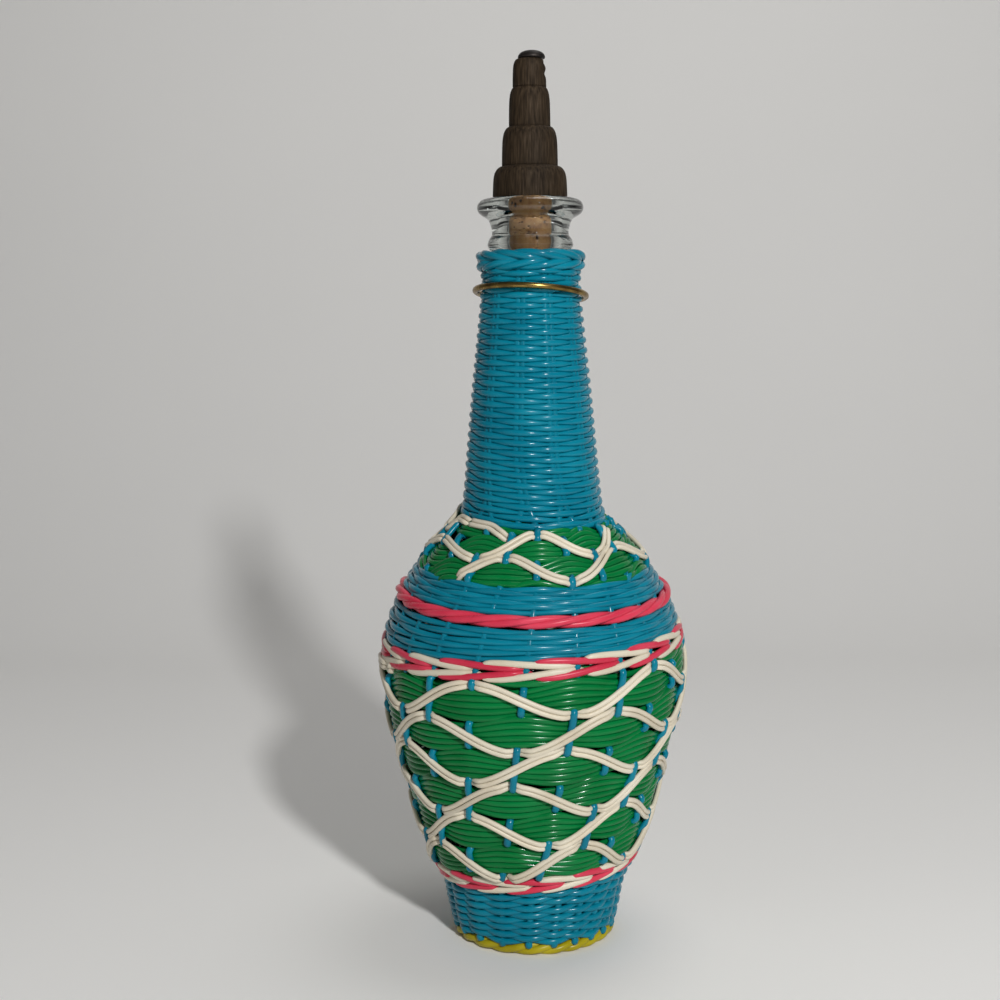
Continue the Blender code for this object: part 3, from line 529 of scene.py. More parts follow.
base_lines = []
for ring in range(BASE_RINGS):
    over = np.cos(math.pi * (stake_count(round_angles, FOOT_TOP) + ring))
    level = STAKE_BASE_LEVEL + BASE_WAVE * over
    base_lines.append(base_ring(BASE_FIRST_RADIUS + BASE_RING_STEP * ring, level))
for ring in range(BASE_CENTRE_RINGS):
    level = STAKE_BASE_LEVEL - BASE_CENTRE_DROP
    base_lines.append(base_ring(BASE_CENTRE_RADIUS + BASE_RING_STEP * ring, level))
strands(
    "woven_base_rings", base_lines, BASE_WIDTH, turquoise_plastic, ("base_weave",),
    BASE_THICKNESS, closed=True,
)

# Foot border: a rope of three yellow strands that the bottle stands on, laid over the stakes'
# bend, each strand slanting over the next.
YELLOW = (0.40, 0.33, 0.008)
PALE_YELLOW = (0.50, 0.42, 0.02)
DARK_YELLOW = (0.30, 0.24, 0.006)
YELLOW_ROUGHNESS = 0.3
ROPE_TURNS = 3
BORDER_WIDTH = 0.0034
BORDER_LEVEL = 0.0018
BORDER_SWING = 0.0011
BORDER_LIFT = -0.0026
BORDER_DEPTH = 0.0015


def three_turns(level, lift, swing, depth, lay=1.0, pitch=STAKE_STEP, start=STAKE_FRONT_ANGLE):
    """One closed line that goes round three times and lies like a rope of three strands."""
    angle = np.linspace(0.0, ROPE_TURNS * FULL_TURN, ROPE_TURNS * STEPS_PER_TURN, endpoint=False)
    phase = FULL_TURN * (angle - start) / pitch / ROPE_TURNS
    height = level(angle) + swing * np.sin(phase) * lay
    return on_skin(angle, height, lift + depth * np.cos(phase))


yellow_plastic = strand_plastic("yellow_plastic", YELLOW, PALE_YELLOW, DARK_YELLOW, YELLOW_ROUGHNESS)
border_line = three_turns(
    lambda angle: np.full_like(angle, BORDER_LEVEL), BORDER_LIFT, BORDER_SWING, BORDER_DEPTH,
)
border_line[:, 2] = np.maximum(border_line[:, 2], BORDER_WIDTH / 2)
strands(
    "yellow_foot_rope", [border_line], BORDER_WIDTH, yellow_plastic, ("foot_border",),
    closed=True,
)

# Foot band: turquoise strand in a tight plain weave, over one stake and under the next, packed
# so close that each float spreads into a lens and hides the stakes.
BASE_ROWS = 14
BASE_ROW_WIDTH = 0.0025
BASE_ROW_WIDEN = 0.0004
BASE_ROW_THICKNESS = 0.0023
BASE_ROW_DEPTH = 0.0020
BASE_ROW_BOW = 0.00045
ROW_FILL = 0.95
ROW_WANDER = ((3, 2.1, 0.35), (7, 1.3, 0.25))


def between(foot, top, share):
    """The height at this share of the way up the skin from one height to another."""
    low = np.interp(foot, SKIN_Z, SKIN_LENGTH)
    high = np.interp(top, SKIN_Z, SKIN_LENGTH)
    return np.interp(low + (high - low) * share, SKIN_LENGTH, SKIN_Z)


def plain_rows(foot, top, rows, size, depth, bow, phase=0):
    """Closed rows between two edges, each over every second stake and the next over the others.

    size is a row's width, how much wider it is over a stake and narrower behind one, and its thickness.
    """
    width, widen, thickness = size
    lines = []
    widths = []
    angle = round_angles
    foot_length, top_length = (np.interp(edge(angle), SKIN_Z, SKIN_LENGTH) for edge in (foot, top))
    least = ROW_FILL * (top_length - foot_length) / rows
    for row in range(rows):
        height = between(foot(angle), top(angle), (row + 0.5) / rows)
        over = np.cos(math.pi * (stake_count(angle, height) - row - phase))
        wander = sum(bow * np.sin(angle * waves + turn * row) * share for waves, turn, share in ROW_WANDER)
        lines.append(on_skin(angle, height + wander, -thickness / 2 + depth * (over - 1) / 2))
        widths.append(np.maximum(width + widen * over, least))
    return lines, widths


foot_lines, foot_widths = plain_rows(
    lambda angle: np.full_like(angle, FOOT_TOP), lambda angle: level_of(LOWER_MIXED_FOOT, angle), BASE_ROWS,
    (BASE_ROW_WIDTH, BASE_ROW_WIDEN, BASE_ROW_THICKNESS), BASE_ROW_DEPTH, BASE_ROW_BOW,
)
strands(
    "foot_band_rows", foot_lines, foot_widths, turquoise_plastic, ("base_band",),
    BASE_ROW_THICKNESS, closed=True,
)

# Lower mixed band: two ropes, each of one pink and one cream strand that cross between the stakes.
# They're laid opposite ways, so each colour makes a row of arrows that point right.
PINK = (0.65, 0.041, 0.082)
PALE_PINK = (0.76, 0.072, 0.125)
DARK_PINK = (0.57, 0.024, 0.060)
PINK_ROUGHNESS = 0.28
CREAM = (0.74, 0.67, 0.53)
PALE_CREAM = (0.80, 0.74, 0.61)
DARK_CREAM = (0.64, 0.56, 0.42)
CREAM_ROUGHNESS = 0.34
LOWER_MIXED_REACH = 0.88
MIXED_WIDTH = 0.0029
MIXED_THICKNESS = 0.0025
MIXED_OUTER = 0.0034
MIXED_INNER = 0.0009
MIXED_LIFT = -0.0008
MIXED_DEPTH = 0.0021
MIXED_DIVE_REACH = 0.14
MIXED_TAPER = 0.32
MIXED_TAPER_REACH = 0.30
pink_plastic = strand_plastic("pink_plastic", PINK, PALE_PINK, DARK_PINK, PINK_ROUGHNESS)
cream_plastic = strand_plastic("cream_plastic", CREAM, PALE_CREAM, DARK_CREAM, CREAM_ROUGHNESS)


def up_skin(height, distance):
    """The height that is reached by going this distance up along the skin."""
    return np.interp(np.interp(height, SKIN_Z, SKIN_LENGTH) + distance, SKIN_LENGTH, SKIN_Z)


def crossing_strand(foot, top, behind_stake, side, reach):
    """One strand of a mixed rope: from behind a stake out to the band's edge, then in to its middle."""
    angle = round_angles
    middle = between(level_of(foot, angle), level_of(top, angle), 0.5)
    phase = (stake_count(angle, middle) - behind_stake) / 2 % 1
    inward = np.where(
        phase < MIXED_DIVE_REACH,
        0.5 - 0.5 * np.cos(math.pi * (1 - phase / MIXED_DIVE_REACH)),
        0.5 - 0.5 * np.cos(math.pi * (phase - MIXED_DIVE_REACH) / (1 - MIXED_DIVE_REACH)),
    )
    edge = (MIXED_OUTER + (MIXED_INNER - MIXED_OUTER) * inward) * reach
    from_dive = np.minimum(phase, 1 - phase)
    near = np.minimum(from_dive / MIXED_DIVE_REACH, 1.0)
    lift = MIXED_LIFT - MIXED_DEPTH * (np.cos(math.pi * near) + 1) / 2
    width = MIXED_WIDTH * (1 - MIXED_TAPER * (1 - soft_step(from_dive, 0.0, MIXED_TAPER_REACH)))
    return on_skin(angle, up_skin(middle, side * edge), lift), width


def mixed_band(name, foot, top, reach=1.0):
    """Both ropes of a mixed band. The pink strand of each stands for the whole rope in the CAD."""
    for rope, side in (("upper", 1), ("lower", -1)):
        for colour, behind_stake, plastic in (("pink", 0, pink_plastic), ("cream", 1, cream_plastic)):
            replaced = (f"{name}_rope_{rope}",) if colour == "pink" else ()
            line, width = crossing_strand(foot, top, behind_stake, side, reach)
            strands(
                f"{name}_{rope}_{colour}_strand", [line], [width], plastic, replaced,
                MIXED_THICKNESS, closed=True,
            )


mixed_band("lower_mixed", LOWER_MIXED_FOOT, LOWER_MIXED_TOP, LOWER_MIXED_REACH)

# Belly weave: green strands in two sets of five that climb round the belly as a double spiral.
# All five of a set pass over the same stake and under the next one. Short rows fill the corners
# where a set runs in under a mixed band.
GREEN = (0.0003, 0.176, 0.040)
PALE_GREEN = (0.001, 0.200, 0.048)
DARK_GREEN = (0.0002, 0.136, 0.028)
GREEN_ROUGHNESS = 0.18
GREEN_WIDTH = 0.0028
GREEN_WIDEN = 0.0001
GREEN_THICKNESS = 0.0025
BELLY_ROWS = 5
BELLY_ROW_STEP = 0.00258
BELLY_SET_SHIFTS = (-0.0004, 0.0004)
BELLY_ROW_SPREAD = 0.00024
BELLY_ROW_SWING = 0.00170
GREEN_DEPTH = 0.0011
GREEN_SINK = 0.0010
TUCK_START = 0.0012
TUCK_FULL = 0.0018
TUCK_END = 0.0030
TUCK_DEPTH = 0.0018
FILLER_REACH = 0.0042
FILLER_DEPTH = 0.0020
SPIRAL_MARGIN = 0.02
SHORTEST_RUN = 5
green_plastic = strand_plastic("green_plastic", GREEN, PALE_GREEN, DARK_GREEN, GREEN_ROUGHNESS)


def inside_runs(line, inside):
    """The stretches of a line that lie inside, each as its own line."""
    runs = []
    marks = np.flatnonzero(np.diff(np.concatenate(([0], inside.astype(int), [0]))))
    for start, end in zip(marks[::2], marks[1::2]):
        if end - start > SHORTEST_RUN:
            runs.append(line[start:end])
    return runs


def spiral_angles(first, rise, low, high):
    """Angles enough for a spiral to run from below its band to above it."""
    start = math.floor((low - first) / rise - 1)
    end = math.ceil((high - first) / rise + 1)
    return np.linspace(start * FULL_TURN, end * FULL_TURN, (end - start) * STEPS_PER_TURN + 1)


def green_rows(first, top_stake, rise, lean, dip, rows, row_step, row_spread, swing, foot, top):
    """Lines and widths of one set's rows, which tuck in where they meet the edges of their band."""
    angle = spiral_angles(first, rise, foot[0] - SPIRAL_MARGIN, top[0] + SPIRAL_MARGIN)
    middle = set_middle(angle, first, rise, lean, dip)
    lines = []
    widths = []
    for row in range(-1, rows + 1):
        place = row - (rows - 1) / 2
        count = stake_count(angle, middle) - top_stake
        step = row_step + row_spread * np.cos(math.pi * count)
        sink = GREEN_SINK * (1 - np.cos(math.pi * count)) / 2
        height = up_skin(middle, place * step - swing * np.cos(math.pi * count / 2) - sink)
        over = np.cos(math.pi * (stake_count(angle, height) - top_stake))
        low_edge, high_edge = level_of(foot, angle), level_of(top, angle)
        beyond = soft_step(np.maximum(low_edge - height, height - high_edge), -TUCK_START, TUCK_FULL)
        lift = -GREEN_THICKNESS / 2 + GREEN_DEPTH * (over - 1) / 2 - TUCK_DEPTH * beyond
        inside = (height > low_edge - TUCK_END) & (height < high_edge + TUCK_END)
        if row in (-1, rows):
            from_edge = height - low_edge if row < 0 else high_edge - height
            inside &= from_edge < FILLER_REACH
            lift -= FILLER_DEPTH * soft_step(from_edge, 0.0, FILLER_REACH)
        line = on_skin(angle, height, lift)
        lines += inside_runs(line, inside)
        widths += inside_runs(GREEN_WIDTH + GREEN_WIDEN * over, inside)
    return lines, widths


belly_lines = []
belly_widths = []
for (first, top_stake), shift in zip(BELLY_SETS, BELLY_SET_SHIFTS):
    set_lines, set_widths = green_rows(
        first + shift, top_stake, BELLY_RISE, BELLY_LEAN, BELLY_DIP, BELLY_ROWS, BELLY_ROW_STEP,
        BELLY_ROW_SPREAD, BELLY_ROW_SWING, LOWER_MIXED_TOP, UPPER_MIXED_FOOT,
    )
    belly_lines += set_lines
    belly_widths += set_widths
strands(
    "belly_green_rows", belly_lines, belly_widths, green_plastic, ("belly_weave",),
    GREEN_THICKNESS,
)

# Belly waves: two pairs of cream strands that swing up and down as they climb with the green
# sets, over the green rows and under one stake at each crest and each hollow.
WAVE_WIDTH = 0.0021
WAVE_THICKNESS = 0.0019
WAVE_SPACING = 0.00212
WAVE_PINCH = 0.16
BELLY_WAVE_HEIGHT = 0.0070
BELLY_WAVE_ENDS = ((-865, 100), (-800, 298))
WAVE_LIFT = 0.0007
WAVE_DIVE = 0.0025
WAVE_DIVE_REACH = 0.26
WAVE_MARGIN = 0.0010
WAVE_SOFTNESS = 0.0006
WAVE_END_REACH = 0.0040
WAVE_END_DIVE = 0.0030


def wave_line(first, top_stake, rise, lean, dip, swing, ends, side, ceiling):
    """One strand of a wave pair, which dives under its neighbours at both ends, given in degrees."""
    start, end = np.radians(ends)
    angle = np.linspace(start, end, round((end - start) / FULL_TURN * STEPS_PER_TURN))
    middle = set_middle(angle, first, rise, lean, dip)
    count = stake_count(angle, middle) - top_stake
    height = middle + swing * np.cos(math.pi * count / 2)
    highest = level_of(ceiling, angle) - WAVE_MARGIN
    height = highest - WAVE_SOFTNESS * np.logaddexp(0.0, (highest - height) / WAVE_SOFTNESS)
    radius = np.interp(height, SKIN_Z, SKIN_R)
    distance = np.interp(height, SKIN_Z, SKIN_LENGTH)
    climb = np.gradient(distance) / (np.gradient(angle) * radius)
    run = np.hypot(1.0, climb)
    near = np.abs((count + 1) % 2 - 1) / WAVE_DIVE_REACH
    dive = np.where(near < 1, (np.cos(math.pi * np.minimum(near, 1)) + 1) / 2, 0.0)
    beside = side * WAVE_SPACING / 2 * (1 - WAVE_PINCH * dive)
    at_end = 1 - soft_step(np.minimum(angle - start, end - angle) * radius, 0.0, WAVE_END_REACH)
    lift = WAVE_LIFT - np.maximum(WAVE_DIVE * dive, WAVE_END_DIVE * at_end)
    return on_skin(angle - beside * climb / run / radius, up_skin(height, beside / run), lift)


for pair, (first, top_stake), ends in zip("ab", BELLY_SETS, BELLY_WAVE_ENDS):
    for strand, side in (("upper", 1), ("lower", -1)):
        line = wave_line(
            first, top_stake, BELLY_RISE, BELLY_LEAN, BELLY_DIP, BELLY_WAVE_HEIGHT, ends, side,
            UPPER_MIXED_FOOT,
        )
        strands(
            f"belly_wave_{pair}_{strand}_cream", [line], WAVE_WIDTH, cream_plastic,
            (f"belly_wave_{pair}_{strand}_strand",), WAVE_THICKNESS,
        )

# Upper mixed band: two more ropes of pink and cream plastic strand that close the top of the
# belly. They're laid like the lower ones, and the green rows tuck in under them.
mixed_band("upper_mixed", UPPER_MIXED_FOOT, UPPER_MIXED_TOP)

# Lower turquoise band: six plain rows between the mixed band and the pink rope. Bits of the
# stakes show as short dashes between the rows.
TURQUOISE_ROWS = 6
TURQUOISE_SIZE = (0.00255, 0.0002, 0.0024)
TURQUOISE_DEPTH = 0.0013
TURQUOISE_BOW = 0.0005
lower_lines, lower_widths = plain_rows(
    lambda angle: level_of(UPPER_MIXED_TOP, angle), lambda angle: level_of(PINK_FOOT, angle), TURQUOISE_ROWS,
    TURQUOISE_SIZE, TURQUOISE_DEPTH, TURQUOISE_BOW,
)
strands(
    "lower_turquoise_rows", lower_lines, lower_widths, turquoise_plastic,
    ("lower_turquoise_band",), TURQUOISE_SIZE[-1], closed=True,
)

# Pink rope: three pink plastic strands, each over two stakes and behind one, laid round the
# turn of the shoulder like a rope.
PINK_WIDTH = 0.0030
PINK_SWING = 0.00125
PINK_LIFT = -0.0012
PINK_DEPTH = 0.0013
pink_line = three_turns(
    lambda angle: between(level_of(PINK_FOOT, angle), level_of(PINK_TOP, angle), 0.5), PINK_LIFT, PINK_SWING,
    PINK_DEPTH,
)
strands(
    "pink_rope_strands", [pink_line], PINK_WIDTH, pink_plastic, ("pink_rope",), closed=True,
)

# Upper turquoise band: six more plain rows of the same strand, above the pink rope. They start
# over the other stakes than the rows below it.
upper_lines, upper_widths = plain_rows(
    lambda angle: level_of(PINK_TOP, angle), lambda angle: level_of(SHOULDER_FOOT, angle), TURQUOISE_ROWS,
    TURQUOISE_SIZE, TURQUOISE_DEPTH, TURQUOISE_BOW, 1,
)
strands(
    "upper_turquoise_rows", upper_lines, upper_widths, turquoise_plastic,
    ("upper_turquoise_band",), TURQUOISE_SIZE[-1], closed=True,
)

# Shoulder weave: green strands in two sets of four, woven like the belly's. They climb less in
# a turn, because the stakes draw in on the slope of the shoulder.
SHOULDER_ROWS = 4
SHOULDER_ROW_STEP = 0.00255
SHOULDER_ROW_SPREAD = 0.0002
SHOULDER_ROW_SWING = 0.0014
shoulder_lines = []
shoulder_widths = []
for first, top_stake in SHOULDER_SETS:
    set_lines, set_widths = green_rows(
        first, top_stake, SHOULDER_RISE, SHOULDER_LEAN, SHOULDER_DIP, SHOULDER_ROWS, SHOULDER_ROW_STEP,
        SHOULDER_ROW_SPREAD, SHOULDER_ROW_SWING, SHOULDER_FOOT, NECK_FOOT,
    )
    shoulder_lines += set_lines
    shoulder_widths += set_widths
strands(
    "shoulder_green_rows", shoulder_lines, shoulder_widths, green_plastic,
    ("shoulder_weave",), GREEN_THICKNESS,
)

# Shoulder waves: two more pairs of cream strands, lower than the belly's. They lie over the
# green sets, and a stake holds them at each crest and each hollow.
SHOULDER_WAVE_HEIGHT = 0.0047
SHOULDER_WAVE_ENDS = ((-160, 62), (-40, 345))
for pair, (first, top_stake), ends in zip("ab", SHOULDER_SETS, SHOULDER_WAVE_ENDS):
    for strand, side in (("upper", 1), ("lower", -1)):
        line = wave_line(
            first, top_stake, SHOULDER_RISE, SHOULDER_LEAN, SHOULDER_DIP, SHOULDER_WAVE_HEIGHT, ends, side,
            NECK_FOOT,
        )
        strands(
            f"shoulder_wave_{pair}_{strand}_cream", [line], WAVE_WIDTH, cream_plastic,
            (f"shoulder_wave_{pair}_{strand}_strand",), WAVE_THICKNESS,
        )

# Neck weave: one turquoise strand that winds up the neck some fifty times, over one pair of
# stakes and under the next, so that each turn lies the other way from the last.
NECK_TOP = 0.2926
NECK_TURNS = 49
NECK_STEPS = 198
NECK_WIDTH = 0.0024
NECK_WIDEN = 0.0005
NECK_THICKNESS = 0.0023
NECK_LIFT = 0.0003
NECK_DEPTH = 0.0015
neck_angle = np.linspace(-0.5 * FULL_TURN, (NECK_TURNS + 0.5) * FULL_TURN, (NECK_TURNS + 1) * NECK_STEPS + 1)
neck_share = np.clip(neck_angle / FULL_TURN / NECK_TURNS, 0.5 / NECK_TURNS, 1 - 0.5 / NECK_TURNS)
neck_height = between(level_of(NECK_FOOT, neck_angle), np.full_like(neck_angle, NECK_TOP), neck_share)
pair_lean = (stake_place(0, neck_height) + stake_place(-1, neck_height)) / 2
neck_over = np.cos(math.pi * (neck_angle - pair_lean) / NECK_PAIR_STEP)
neck_lift = NECK_LIFT - NECK_THICKNESS / 2 + NECK_DEPTH * (neck_over - 1) / 2
strands(
    "neck_winding", [on_skin(neck_angle, neck_height, neck_lift)], [NECK_WIDTH + NECK_WIDEN * neck_over],
    turquoise_plastic, ("neck_weave",), NECK_THICKNESS,
)

# Border braid: the ends of the stakes laid over each other in two layers that slant opposite
# ways, and tucked in under the glass collar.
BRAID_WIDTH = 0.0031
BRAID_SWING = 0.0012
BRAID_LIFT = -0.0010
BRAID_DEPTH = 0.0013
BRAID_LEVELS = ((0.2943, 1.0), (0.2979, -1.0))
braid_lines = []
for level, lay in BRAID_LEVELS:
    braid_lines.append(three_turns(
        lambda angle, level=level: np.full_like(angle, level), BRAID_LIFT, BRAID_SWING, BRAID_DEPTH, lay,
        pitch=NECK_PAIR_STEP, start=NECK_PAIR_ANGLE,
    ))
strands(
    "border_braid_strands", braid_lines, BRAID_WIDTH, turquoise_plastic,
    ("top_border_braid",), closed=True,
)

# Brass ring: a loose ring of round brass wire, bent by hand and a little out of round. It hangs
# tilted round the neck and rests where the neck gets too wide for it.
RING_WIRE = 0.0027
RING_HEIGHT = 0.2824
RING_CLEARANCE = 0.0007
RING_TILT = (math.radians(-7.0), math.radians(3.5))
RING_STEPS = 200
RING_OUT_OF_ROUND = 0.004
RING_LONG_WAY = 0.6
BRASS = (0.29, 0.19, 0.055)
DARK_BRASS = (0.11, 0.065, 0.02)
WORN_BRASS = (0.42, 0.29, 0.09)
BRASS_TARNISH = 160.0
BRASS_ROUGHNESS = (0.38, 0.2)
BRASS_GRAIN = 600.0
BRASS_RELIEF = (0.1, 0.0001)


def old_brass():
    """Old brass, darker where it's tarnished and brighter where it's worn."""
    material, nodes, links, surface = new_finish("old_brass")
    surface.inputs["Metallic"].default_value = 1.0
    tarnish = mottling(nodes, links, BRASS_TARNISH, 5.0)
    colour = tones(nodes, links, tarnish, (0.3, DARK_BRASS), (0.55, BRASS), (0.8, WORN_BRASS))
    links.new(colour, surface.inputs["Base Color"])
    links.new(uneven(nodes, links, tarnish, *BRASS_ROUGHNESS), surface.inputs["Roughness"])
    rough_skin(nodes, links, surface, mottling(nodes, links, BRASS_GRAIN), *BRASS_RELIEF)
    return material


ring_radius = float(np.interp(RING_HEIGHT, SKIN_Z, SKIN_R)) + RING_CLEARANCE + RING_WIRE / 2
ring_angle = np.linspace(0.0, FULL_TURN, RING_STEPS, endpoint=False)
ring_reach = ring_radius * (1 + RING_OUT_OF_ROUND * np.sin(2 * ring_angle + RING_LONG_WAY))
ring_x, ring_y = ring_reach * np.sin(ring_angle), -ring_reach * np.cos(ring_angle)
tilt_back, tilt_right = RING_TILT
ring_z = RING_HEIGHT + ring_y * math.sin(tilt_back) - ring_x * math.sin(tilt_right)
ring_line = np.stack((ring_x, ring_y * math.cos(tilt_back), ring_z), axis=-1)
strands(
    "brass_wire_ring", [ring_line], RING_WIRE, old_brass(), ("brass_ring",), closed=True,
    body="neck_ring",
)

# Cork: a tapered plug of natural cork with small pits, pushed into the glass mouth, and painted shade
# that darkens each pit by its depth. The dowel above it is glued in.
CORK_TOP = 0.3225
CORK_FOOT = 0.2885
CORK_TOP_RADIUS = 0.0094
CORK_FOOT_RADIUS = 0.0087
CORK_EDGE = 0.0006
CORK_LEVELS = 110
CORK_STEPS = 220
CORK_PITS = 210
CORK_PIT_DEPTH = 0.0006
CORK_PIT_SIZES = (0.0003, 0.0007)
CORK_PIT_FLATTEN = 1.4
CORK_SIDE_SHARE = 0.99
CORK_TONES = (
    (0.28, (0.22, 0.080, 0.022)), (0.45, (0.58, 0.28, 0.10)), (0.62, (0.72, 0.38, 0.15)),
    (0.8, (0.78, 0.45, 0.20)),
)
# Painted shade: the colour the pits are multiplied by, darker where a pit is deeper.
CORK_PIT_SHADE_TONES = ((0.25, (1.0, 1.0, 1.0)), (0.7, (0.10, 0.06, 0.035)))
CORK_GRAIN = 260.0
CORK_FINE_GRAIN = 900.0
CORK_ROUGHNESS = (0.8, 0.65)
CORK_RELIEF = (0.4, 0.0003)


def natural_cork():
    """Dull brown cork, with painted shade darkening its pits."""
    material, nodes, links, surface = new_finish("natural_cork")
    grain = mottling(nodes, links, CORK_GRAIN, 6.0, (1.0, 1.0, 0.6))
    colour = tones(nodes, links, grain, *CORK_TONES)
    # Painted shade in the pits, read from how deep each point was pushed in.
    pits = nodes.new("ShaderNodeAttribute")
    pits.attribute_name = "pit_depth"
    shade = tones(nodes, links, pits.outputs["Fac"], *CORK_PIT_SHADE_TONES)
    links.new(multiplied(nodes, links, colour, shade), surface.inputs["Base Color"])
    links.new(uneven(nodes, links, grain, *CORK_ROUGHNESS), surface.inputs["Roughness"])
    rough_skin(nodes, links, surface, mottling(nodes, links, CORK_FINE_GRAIN), *CORK_RELIEF)
    return material


cork_line = [(0.0, CORK_FOOT), (CORK_FOOT_RADIUS - CORK_EDGE, CORK_FOOT)]
for level in np.linspace(0.0, 1.0, CORK_LEVELS):
    cork_line.append((
        CORK_FOOT_RADIUS + (CORK_TOP_RADIUS - CORK_FOOT_RADIUS) * level,
        CORK_FOOT + CORK_EDGE + (CORK_TOP - CORK_FOOT - 2 * CORK_EDGE) * level,
    ))
cork_line += [(CORK_TOP_RADIUS - CORK_EDGE, CORK_TOP), (0.0, CORK_TOP)]
cork_vertices, cork_faces = turned(cork_line, CORK_STEPS)
cork_vertices = np.array(cork_vertices)
cork_angle = np.arctan2(cork_vertices[:, 0], -cork_vertices[:, 1])
cork_reach = np.hypot(cork_vertices[:, 0], cork_vertices[:, 1])
pitted = np.zeros(len(cork_vertices))
for pit in range(CORK_PITS):
    pit_angle = random.uniform(-math.pi, math.pi)
    pit_level = random.uniform(CORK_FOOT, CORK_TOP)
    pit_size = random.uniform(*CORK_PIT_SIZES)
    turn_off = (cork_angle - pit_angle + math.pi) % FULL_TURN - math.pi
    level_off = (cork_vertices[:, 2] - pit_level) * CORK_PIT_FLATTEN
    away = np.hypot(turn_off * CORK_TOP_RADIUS, level_off) / pit_size
    pitted = np.maximum(pitted, np.exp(-away * away))
side = cork_reach > CORK_FOOT_RADIUS * CORK_SIDE_SHARE
cork_vertices[side, :2] *= (1 - CORK_PIT_DEPTH * pitted[side] / cork_reach[side])[:, None]
cork = new_piece("pitted_cork", cork_vertices, cork_faces, natural_cork(), "stopper", ("cork_plug",))
# The pits' depth at each point, which the finish turns into painted shade.
pit_depth = cork.data.attributes.new("pit_depth", "FLOAT", "POINT")
pit_depth.data.foreach_set("value", np.where(side, pitted, 0.0).astype(np.float32))

# Dowel: a pale round wooden pin with eased ends, glued into the cork below it and the finial
# above. It joins the two, and is hidden between them.
DOWEL_STEPS = 48
DOWEL_BEVEL = 0.0004
DOWEL_TONES = ((0.3, (0.36, 0.22, 0.11)), (0.7, (0.52, 0.36, 0.2)))
DOWEL_GRAIN = 120.0
DOWEL_ROUGHNESS = (0.6, 0.5)


def pale_wood():
    """Pale bare wood with its grain along the dowel."""
    material, nodes, links, surface = new_finish("pale_dowel_wood")
    grain = mottling(nodes, links, DOWEL_GRAIN, 4.0, (4.0, 4.0, 0.5))
    links.new(tones(nodes, links, grain, *DOWEL_TONES), surface.inputs["Base Color"])
    links.new(uneven(nodes, links, grain, *DOWEL_ROUGHNESS), surface.inputs["Roughness"])
    return material


dowel_low, dowel_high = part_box("finial_dowel")
dowel_radius = dowel_high.x
dowel_line = (
    (0.0, dowel_low.z), (dowel_radius - DOWEL_BEVEL, dowel_low.z),
    (dowel_radius, dowel_low.z + DOWEL_BEVEL), (dowel_radius, dowel_high.z - DOWEL_BEVEL),
    (dowel_radius - DOWEL_BEVEL, dowel_high.z), (0.0, dowel_high.z),
)
dowel_vertices, dowel_faces = turned(dowel_line, DOWEL_STEPS)
new_piece(
    "joining_dowel", dowel_vertices, dowel_faces, pale_wood(), "stopper", ("finial_dowel",)
)

# Finial: dark walnut turned in four tiers, each with a rounded shoulder, with fine upright grain
# and two small chips on the top tier's right edge. Its foot is a hair above the glass lip.
FINIAL_FOOT = 0.3228
TIER_RADII = (0.0159, 0.0119, 0.0088, 0.0071)
TIER_HEIGHTS = (0.0133, 0.0165, 0.0166, 0.0116)
TIER_SHAPE = (
    (0.0, 0.985), (0.03, 1.0), (0.20, 0.998), (0.58, 0.982), (0.78, 0.950), (0.90, 0.895), (0.97, 0.83),
)
TIER_TOP_SHARE = 0.76
TIER_STEPS = 4
FINIAL_STEPS = 192
FINIAL_SPACING = 0.0006
CHIPS = ((0.3748, 0.0008, 0.0013), (0.3790, 0.0007, 0.0010))
CHIP_ANGLE = math.radians(86)
CHIP_LENGTHEN = 2.2
GRAIN_RIDGES = ((0.00005, 61, 0.0), (0.00004, 37, 1.0))
RIDGES_FROM = 0.003
WALNUT_TONES = (
    (0.30, (0.012, 0.007, 0.0035)), (0.48, (0.032, 0.020, 0.010)), (0.62, (0.048, 0.031, 0.017)),
    (0.78, (0.070, 0.047, 0.027)),
)
WALNUT_SHADES = ((0.3, (0.6, 0.6, 0.6)), (0.7, (1.0, 1.0, 1.0)))
WALNUT_GRAIN = 420.0
WALNUT_FIGURE = 60.0
WALNUT_ROUGHNESS = (0.80, 0.66)
WALNUT_SPECULAR = 0.16
WALNUT_RELIEF = (0.35, 0.0003)


def dark_walnut():
    """Dark walnut with hardly any gloss, a fine upright grain and broad darker figure."""
    material, nodes, links, surface = new_finish("dark_walnut")
    grain = mottling(nodes, links, WALNUT_GRAIN, 8.0, (3.0, 3.0, 0.30))
    figure = mottling(nodes, links, WALNUT_FIGURE, 3.0, (1.6, 1.6, 0.3))
    colour = tones(nodes, links, grain, *WALNUT_TONES)
    shade = tones(nodes, links, figure, *WALNUT_SHADES)
    links.new(multiplied(nodes, links, colour, shade), surface.inputs["Base Color"])
    links.new(uneven(nodes, links, grain, *WALNUT_ROUGHNESS), surface.inputs["Roughness"])
    surface.inputs["Specular IOR Level"].default_value = WALNUT_SPECULAR
    rough_skin(nodes, links, surface, grain, *WALNUT_RELIEF)
    return material


